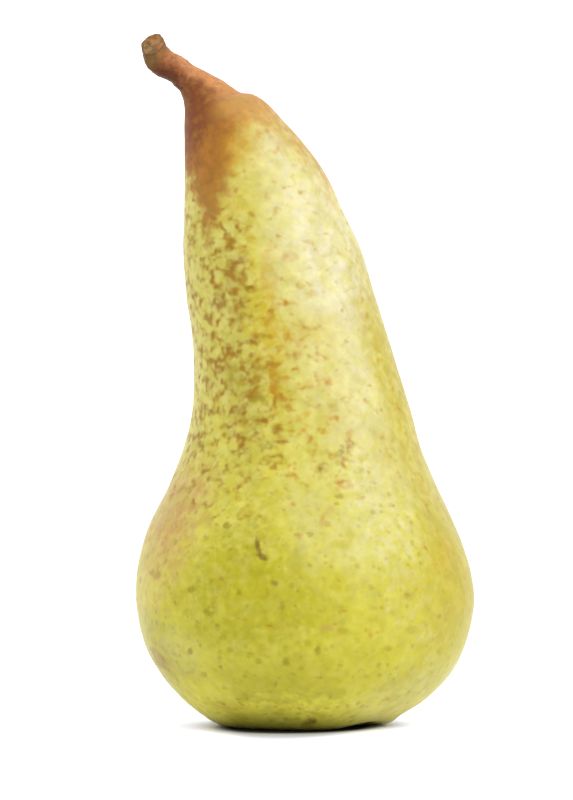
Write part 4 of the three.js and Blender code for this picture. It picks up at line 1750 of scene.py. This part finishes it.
@dataclass
class Stem:
    """The woody stem: ridged, swollen towards its obliquely cut end.

    Attributes:
        sides: How many points a ring has.
        steps: How many steps lie between two sections.
        ridges: The ridges along it, coarse and fine.
        ridge_rise: How fast they rise from the joint.
        square: The four corners of its swollen end.
        fold_end: How far along the folds of the flesh run out, as a share of its length.
        bark_height: The height of the coarse bark, as a share of the radius.
        bark_size: How far apart its scales are.
        grain_height: The height of the fine grain.
        grain_size: How far apart it is.
        root: The length of the root.
        root_rings: The rings of the root: how wide and how deep each is.
        cut_rings: The rings of the cut face: how wide each is.
        cut_hollow: How hollow the cut face is.
        cut_lip: How far its rim stands up.
        lip_start: Where this rim starts.
        cut_height: The height of its roughness.
        cut_size: How far apart that is.
        finish: Its finish.
    """

    sides: int = 120
    steps: int = 16
    ridges: tuple[Wave, ...] = (
        Wave(0.035, 5, 2.4, -QUARTER), Wave(0.03, 2, 7.0, -QUARTER),
        Wave(0.008, 11, 9.0, -QUARTER), Wave(0.005, 19, -7.0, -QUARTER))
    ridge_rise: float = 4.0
    square: Wave = Wave(0.08, 4)
    fold_end: float = 0.3
    bark_height: float = 0.035
    bark_size: float = 0.9
    grain_height: float = 0.02
    grain_size: float = 0.4
    root: float = 2.2
    root_rings: tuple[Point, ...] = ((0.5, 1.0), (0.75, 0.8), (0.92, 0.3))
    cut_rings: tuple[float, ...] = (0.985, 0.95, 0.88, 0.78, 0.66, 0.54, 0.42, 0.3, 0.18, 0.08)
    cut_hollow: float = 0.25
    cut_lip: float = 0.06
    lip_start: float = 0.9
    cut_height: float = 0.07
    cut_size: float = 0.5
    finish: BarkFinish = BarkFinish()

    def relief(self, angle: np.ndarray, along: np.ndarray) -> np.ndarray:
        """Return ridges and swellings, as a factor on the radius.

        Args:
            angle: The angle of each point of a ring.
            along: How far along the stem each ring is, from 0 to 1.

        Returns:
            The factor for each ring and angle.
        """
        turn, share = angle[None], along[:, None]
        ridges = sum(wave.at(turn, share) for wave in self.ridges)
        folds = joint_folds(turn) * (1 - ease(share, 0.0, self.fold_end))
        return 1 + folds + ridges * np.minimum(1, self.ridge_rise * share) - self.square.at(turn) * share**3

    def shape(self) -> np.ndarray:
        """Return the points of the bark, as rings in millimetres."""
        rings = Rings.through(STEM_SECTIONS, self.steps, self.sides)
        along = np.linspace(0, 1, len(rings.left))
        slant = smooth_curve(np.array([[part.slant] for part in STEM_SECTIONS]), self.steps)[:, 0]
        points = rings.points(self.relief(rings.angle, along), -STEM_FORWARD * along**1.5, slant)
        middle = points.mean(1, keepdims=True)
        bark = self.bark_height * lumps(points, self.bark_size, seed=2.2)
        bark += self.grain_height * lumps(points, self.grain_size, seed=5.1)
        return middle + (points - middle) * (1 + bark)[..., None]

    def root_end(self, bark: np.ndarray) -> np.ndarray:
        """Taper the lower end into the root that sits in the flesh.

        Args:
            bark: The rings of the bark.

        Returns:
            The rings of the root, from its end up.
        """
        foot = bark[0].mean(0)
        inward = foot - bark[self.steps // 2].mean(0)
        inward /= np.linalg.norm(inward)
        return np.array([foot + (bark[0] - foot) * share + inward * self.root * depth
                         for share, depth in self.root_rings])

    def cut_end(self, last: np.ndarray) -> np.ndarray:
        """Close the upper end with a slightly hollow, rough cut face.

        Args:
            last: The last ring of the bark.

        Returns:
            The rings of the face, from its rim inward.
        """
        middle = last.mean(0)
        outward = np.cross(last[0] - middle, last[self.sides // 4] - middle)
        outward /= np.linalg.norm(outward)
        rings = []
        for share in self.cut_rings:
            dip = self.cut_hollow * (1 - share**4) - self.cut_lip * (share > self.lip_start)
            ring = middle + (last - middle) * share - outward * dip
            rough = self.cut_height * lumps(ring[None], self.cut_size, seed=8.3)[0][:, None]
            rings.append(ring + outward * rough)
        return np.array(rings)

    def build(self) -> bpy.types.Object:
        """Build the mesh, with how far along and how far in from the rim each point is."""
        bark = self.shape()
        root, face = self.root_end(bark), self.cut_end(bark[-1])
        rings = np.concatenate([root, bark, face])
        piece = loft_mesh("stem_bark", rings)
        along = np.concatenate([np.zeros(len(root)), np.linspace(0, 1, len(bark)), np.ones(len(face))])
        inward = np.concatenate([np.zeros(len(root) + len(bark)), np.linspace(0.1, 1, len(face))])
        add_values(piece, "side", np.tile(np.cos(round_angles(self.sides)), len(rings)), 0.0)
        add_values(piece, "along", np.repeat(along, self.sides), 1.0)
        add_values(piece, "inward", np.repeat(inward, self.sides), 1.0)
        return piece

    def dress(self, piece: bpy.types.Object) -> None:
        """Give the piece its finish and put it on the pear."""
        join_part(piece, "stem", self.finish.material())


def spun(out: np.ndarray, across: np.ndarray, up: np.ndarray, turn: float) -> np.ndarray:
    """Turn points round the middle of the pear.

    Args:
        out: How far out they are.
        across: How far to the side of that they are.
        up: How high they are.
        turn: The direction that counts as out, in radians.

    Returns:
        Their x, y and z.
    """
    x = out * math.cos(turn) - across * math.sin(turn)
    y = out * math.sin(turn) + across * math.cos(turn)
    return np.stack([x, y, np.broadcast_to(up, x.shape)], 2)


@dataclass
class Calyx:
    """What is left of the flower: a small cup with five curled sepals and a tuft of stamens.

    Attributes:
        cup_sides: How many points a ring of the cup has.
        cup_radius: The cup's radius.
        cup_eye: The radius of its hollow, as a share of that.
        cup_top: Its top.
        cup_bottom: Its lower rim.
        cup_waves: The unevenness of its rim.
        peg_radius: The radius of the peg that sits in the flesh.
        peg_top: The peg's top.
        sepals: How many sepals there are.
        sepal_sides: How many points a ring of a sepal has.
        sepal_line: The (out, up) of a sepal's middle line, from its root to its tip.
        sepal_long: How far each of these points takes part in a longer reach.
        sepal_bent: How far it takes part in the curl.
        sepal_width: A sepal's width at its root.
        sepal_narrow: How much narrower its tip is.
        sepal_thickness: Its thickness at its root.
        sepal_thin: How much thinner its tip is.
        sepal_veins: How far its veins stand out, as a share of its thickness.
        sepal_cup: How far its edges bend up.
        sepal_curl: How far the tips curl up or down.
        sepal_reach: How much longer or shorter than others a sepal can be.
        sepal_stray: How far one strays from its direction, in radians.
        stamens: How many stamens there are.
        stamen_sides: How many points a ring of a stamen has.
        stamen_radius: A stamen's radius.
        stamen_length: The length of the longest.
        stamen_foot: How far out they stand, as a share of the cup's radius.
        stamen_sink: How deep they are sunk in the cup.
        stamen_lean: How far each point of a stamen takes part in its lean.
        stamen_fall: How far down each point is, as a share of its length.
        stamen_head: How wide the rings of its head are, as a share of its radius.
        stamen_stray: How far one strays from its direction, in radians.
        stamen_bend: How far one leans in or out.
        stamen_short: The length of the shortest, as a share of the longest.
        seed: The seed of their bends.
        finish: The finish of them all.
    """

    cup_sides: int = 72
    cup_radius: float = 2.8
    cup_eye: float = 0.45
    cup_top: float = 4.9
    cup_bottom: float = 3.9
    cup_waves: tuple[Wave, ...] = (Wave(0.04, 5), Wave(0.02, 13, start=1.0))
    peg_radius: float = 1.1
    peg_top: float = 7.4
    sepals: int = 5
    sepal_sides: int = 32
    sepal_line: tuple[Point, ...] = ((1.5, 4.15), (2.9, 3.5), (3.9, 3.1), (4.75, 2.95))
    sepal_long: tuple[float, ...] = (0.0, 0.0, 1.0, 1.0)
    sepal_bent: tuple[float, ...] = (0.0, 0.0, 0.3, 1.0)
    sepal_width: float = 2.5
    sepal_narrow: float = 0.8
    sepal_thickness: float = 0.45
    sepal_thin: float = 0.3
    sepal_veins: float = 0.22
    sepal_cup: float = 0.35
    sepal_curl: float = 0.35
    sepal_reach: float = 0.3
    sepal_stray: float = 0.12
    stamens: int = 18
    stamen_sides: int = 8
    stamen_radius: float = 0.11
    stamen_length: float = 1.7
    stamen_foot: float = 0.4
    stamen_sink: float = 0.35
    stamen_lean: tuple[float, ...] = (0.0, 0.1, 0.5, 0.8)
    stamen_fall: tuple[float, ...] = (0.0, 0.35, 0.75, 1.0)
    stamen_head: tuple[float, ...] = (1.2, 2.0, 2.2, 1.3)
    stamen_stray: float = 0.15
    stamen_bend: float = 0.5
    stamen_short: float = 0.6
    seed: int = 11
    finish: DriedFinish = DriedFinish()

    def cup(self) -> bpy.types.Object:
        """Build the cup with its peg, as a lathed body with an uneven rim."""
        rim, eye, peg = self.cup_radius, self.cup_radius * self.cup_eye, self.peg_radius
        low, high = self.cup_bottom, self.cup_top
        profile = np.array([
            (eye * 0.3, low + 0.5), (eye * 0.85, low + 0.4), (eye, low), (rim * 0.8, low - 0.1),
            (rim, low + 0.4), (rim * 0.9, high), (peg, high + 0.1), (peg, self.peg_top - 0.2),
            (peg * 0.6, self.peg_top),
        ])
        line = smooth_curve(profile, 4)
        angle = round_angles(self.cup_sides)
        wave = 1 + sum(wave.at(angle) for wave in self.cup_waves)
        radius, level = line[:, :1] * wave[None], line[:, 1:]
        return loft_mesh("calyx_cup", spun(radius * np.cos(angle), radius * np.sin(angle), level, 0.0))

    def sepal(self, index: int) -> bpy.types.Object:
        """Build one sepal, thin, veined and curled at its tip.

        Args:
            index: Which of them it is. Each has its own curl, reach and direction.

        Returns:
            The sepal.
        """
        curl = self.sepal_curl * math.sin(2.3 * index + 0.4)
        reach = self.sepal_reach * math.cos(3.1 * index)
        turn = 2 * math.pi * index / self.sepals + self.sepal_stray * math.sin(4.1 * index)
        line = np.array(self.sepal_line)
        line += np.outer(self.sepal_long, (reach, 0.0)) - np.outer(self.sepal_bent, (0.0, curl))
        path = smooth_curve(line, 10)
        share = np.linspace(0, 1, len(path))
        ahead = np.gradient(path, axis=0)
        ahead /= np.linalg.norm(ahead, axis=1, keepdims=True)
        angle = round_angles(self.sepal_sides)
        half = self.sepal_width / 2 * (1 - self.sepal_narrow * share**1.6)
        veins = 1 + self.sepal_veins * np.cos(6 * np.pi * np.cos(angle))[None] * (share[:, None] > 0)
        rise = np.sin(angle)[None] * self.sepal_thickness / 2 * veins
        rise = rise * (1 - self.sepal_thin * share)[:, None]
        across = np.cos(angle)[None] * half[:, None]
        cupped = self.sepal_cup * (across / (self.sepal_width / 2)) ** 2
        out = path[:, :1] - ahead[:, 1:] * (rise - cupped)
        up = path[:, 1:] + ahead[:, :1] * (rise - cupped)
        return loft_mesh(f"calyx_sepal_{index + 1}", spun(out, across, up, turn))

    def stamen(self, index: int, draw: np.random.Generator) -> bpy.types.Object:
        """Build one dried stamen, a bent thread with a small head.

        Args:
            index: Which of them it is.
            draw: The seeded source of its bend.

        Returns:
            The stamen.
        """
        stray = draw.uniform(-self.stamen_stray, self.stamen_stray)
        turn = 2 * math.pi * index / self.stamens + stray
        lean = draw.uniform(-self.stamen_bend, self.stamen_bend)
        length = self.stamen_length * draw.uniform(self.stamen_short, 1.0)
        reach = self.cup_radius * self.stamen_foot + lean * np.array(self.stamen_lean)
        level = self.cup_bottom + self.stamen_sink - length * np.array(self.stamen_fall)
        path = smooth_curve(np.stack([reach, level], 1), 4)
        thread = np.ones(len(path) - len(self.stamen_head))
        size = self.stamen_radius * np.concatenate([thread, self.stamen_head])[:, None]
        angle = -round_angles(self.stamen_sides)[None]
        out = path[:, :1] + np.cos(angle) * size
        return loft_mesh(f"calyx_stamen_{index + 1}", spun(out, np.sin(angle) * size, path[:, 1:], turn))

    def build(self) -> bpy.types.Object:
        """Build all its parts and join them into one piece, each with its own tile of the bake's map."""
        draw = np.random.default_rng(self.seed)
        parts = [self.cup()]
        parts += [self.sepal(index) for index in range(self.sepals)]
        parts += [self.stamen(index, draw) for index in range(self.stamens)]
        across = math.ceil(math.sqrt(len(parts)))
        for index, part in enumerate(parts):
            move_to_tile(part, index, across)
        with bpy.context.temp_override(active_object=parts[0], selected_editable_objects=parts):
            bpy.ops.object.join()
        parts[0].name = "calyx_dried"
        return parts[0]

    def dress(self, piece: bpy.types.Object) -> None:
        """Give the piece its finish and put it on the pear."""
        join_part(piece, "calyx", self.finish.material())


# ---------------------------------------------------------------------------- studio

@dataclass(frozen=True)
class Lamp:
    """A square soft light that faces the pear.

    Attributes:
        name: Its name.
        azimuth: How far it stands to the right of the camera, in degrees.
        elevation: How far it stands above the pear, in degrees.
        size: Its width, in millimetres.
        power: Its power, in watts.
        distance: How far it stands from the pear, in millimetres.
    """

    name: str
    azimuth: float
    elevation: float
    size: float
    power: float
    distance: float = 700.0

    @property
    def away(self) -> Vector:
        """Return the direction from the pear to the lamp."""
        turn, rise = math.radians(self.azimuth), math.radians(self.elevation)
        return Vector((math.sin(turn) * math.cos(rise), -math.cos(turn) * math.cos(rise), math.sin(rise)))


@dataclass
class Studio:
    """The camera, the floor, the white surroundings and two large soft lights.

    Attributes:
        target: The point that the camera looks at, in millimetres.
        distance: How far off the camera is, in millimetres.
        elevation: How far above the pear it stands, in degrees.
        focal_length: Its focal length, in millimetres.
        sight_end: How far the camera sees, in metres.
        floor_half: Half the width of the floor, in millimetres.
        surroundings: How bright the surroundings are.
        lamps: The two lights.
    """

    target: Triple = (-3.64, 0.0, 65.2)
    distance: float = 1777.8
    elevation: float = 2.0
    focal_length: float = 400.0
    sight_end: float = 100.0
    floor_half: float = 6000.0
    surroundings: float = 1.65
    lamps: tuple[Lamp, ...] = (
        Lamp("key_light", 50.0, 35.0, 320.0, 3.0),
        Lamp("fill_light", -110.0, 60.0, 500.0, 1.7),
    )

    def stand(self, name: str, data: bpy.types.ID, away: Vector, distance: float) -> bpy.types.Object:
        """Stand a camera or a light somewhere round the pear, so that it faces it.

        Args:
            name: The name of the new object.
            data: The camera or the light.
            away: The direction from the pear to where it stands.
            distance: How far off it stands, in millimetres.

        Returns:
            The new object.
        """
        made = bpy.data.objects.new(name, data)
        bpy.context.scene.collection.objects.link(made)
        made.location = (Vector(self.target) + away * distance) * MM
        made.rotation_euler = (-away).to_track_quat("-Z", "Y").to_euler()
        return made

    def camera(self) -> None:
        """Make the camera, which looks along +Y from a little above."""
        lens = bpy.data.cameras.new("camera")
        lens.lens = self.focal_length
        lens.clip_end = self.sight_end
        rise = math.radians(self.elevation)
        back = Vector((0.0, -math.cos(rise), math.sin(rise)))
        bpy.context.scene.camera = self.stand("camera", lens, back, self.distance)

    def floor(self) -> None:
        """Make the floor, level with the pear's foot."""
        half = self.floor_half * MM
        corners = [(-half, -half, 0.0), (half, -half, 0.0), (half, half, 0.0), (-half, half, 0.0)]
        mesh = bpy.data.meshes.new("studio_floor")
        mesh.from_pydata(corners, [], [(0, 1, 2, 3)])
        mesh.materials.append(FloorFinish().material())
        made = bpy.data.objects.new("studio_floor", mesh)
        bpy.context.scene.collection.objects.link(made)

    def light(self, lamp: Lamp) -> None:
        """Make one soft light.

        Args:
            lamp: What it is like and where it stands.
        """
        made = bpy.data.lights.new(lamp.name, "AREA")
        made.shape = "SQUARE"
        made.size = lamp.size * MM
        made.energy = lamp.power
        self.stand(lamp.name, made, lamp.away, lamp.distance)

    def world(self) -> None:
        """Make the white surroundings."""
        scene = bpy.context.scene
        scene.world = bpy.data.worlds.new("surroundings")
        scene.world.use_nodes = True
        sky = scene.world.node_tree.nodes["Background"]
        sky.inputs["Color"].default_value = (1.0, 1.0, 1.0, 1.0)
        sky.inputs["Strength"].default_value = self.surroundings
        scene.view_settings.view_transform = "Standard"

    def build(self) -> None:
        """Make all of it."""
        self.camera()
        self.floor()
        for lamp in self.lamps:
            self.light(lamp)
        self.world()
        LOG.info("studio: camera at %.0f mm, soft lights, white floor", self.distance)


def main() -> None:
    """Build the studio and the pear."""
    logging.basicConfig(level=logging.INFO, format="%(name)s: %(message)s")
    Studio().build()
    for part in (Fruit(), Stem(), Calyx()):
        part.dress(part.build())


if __name__ == "__main__":
    main()
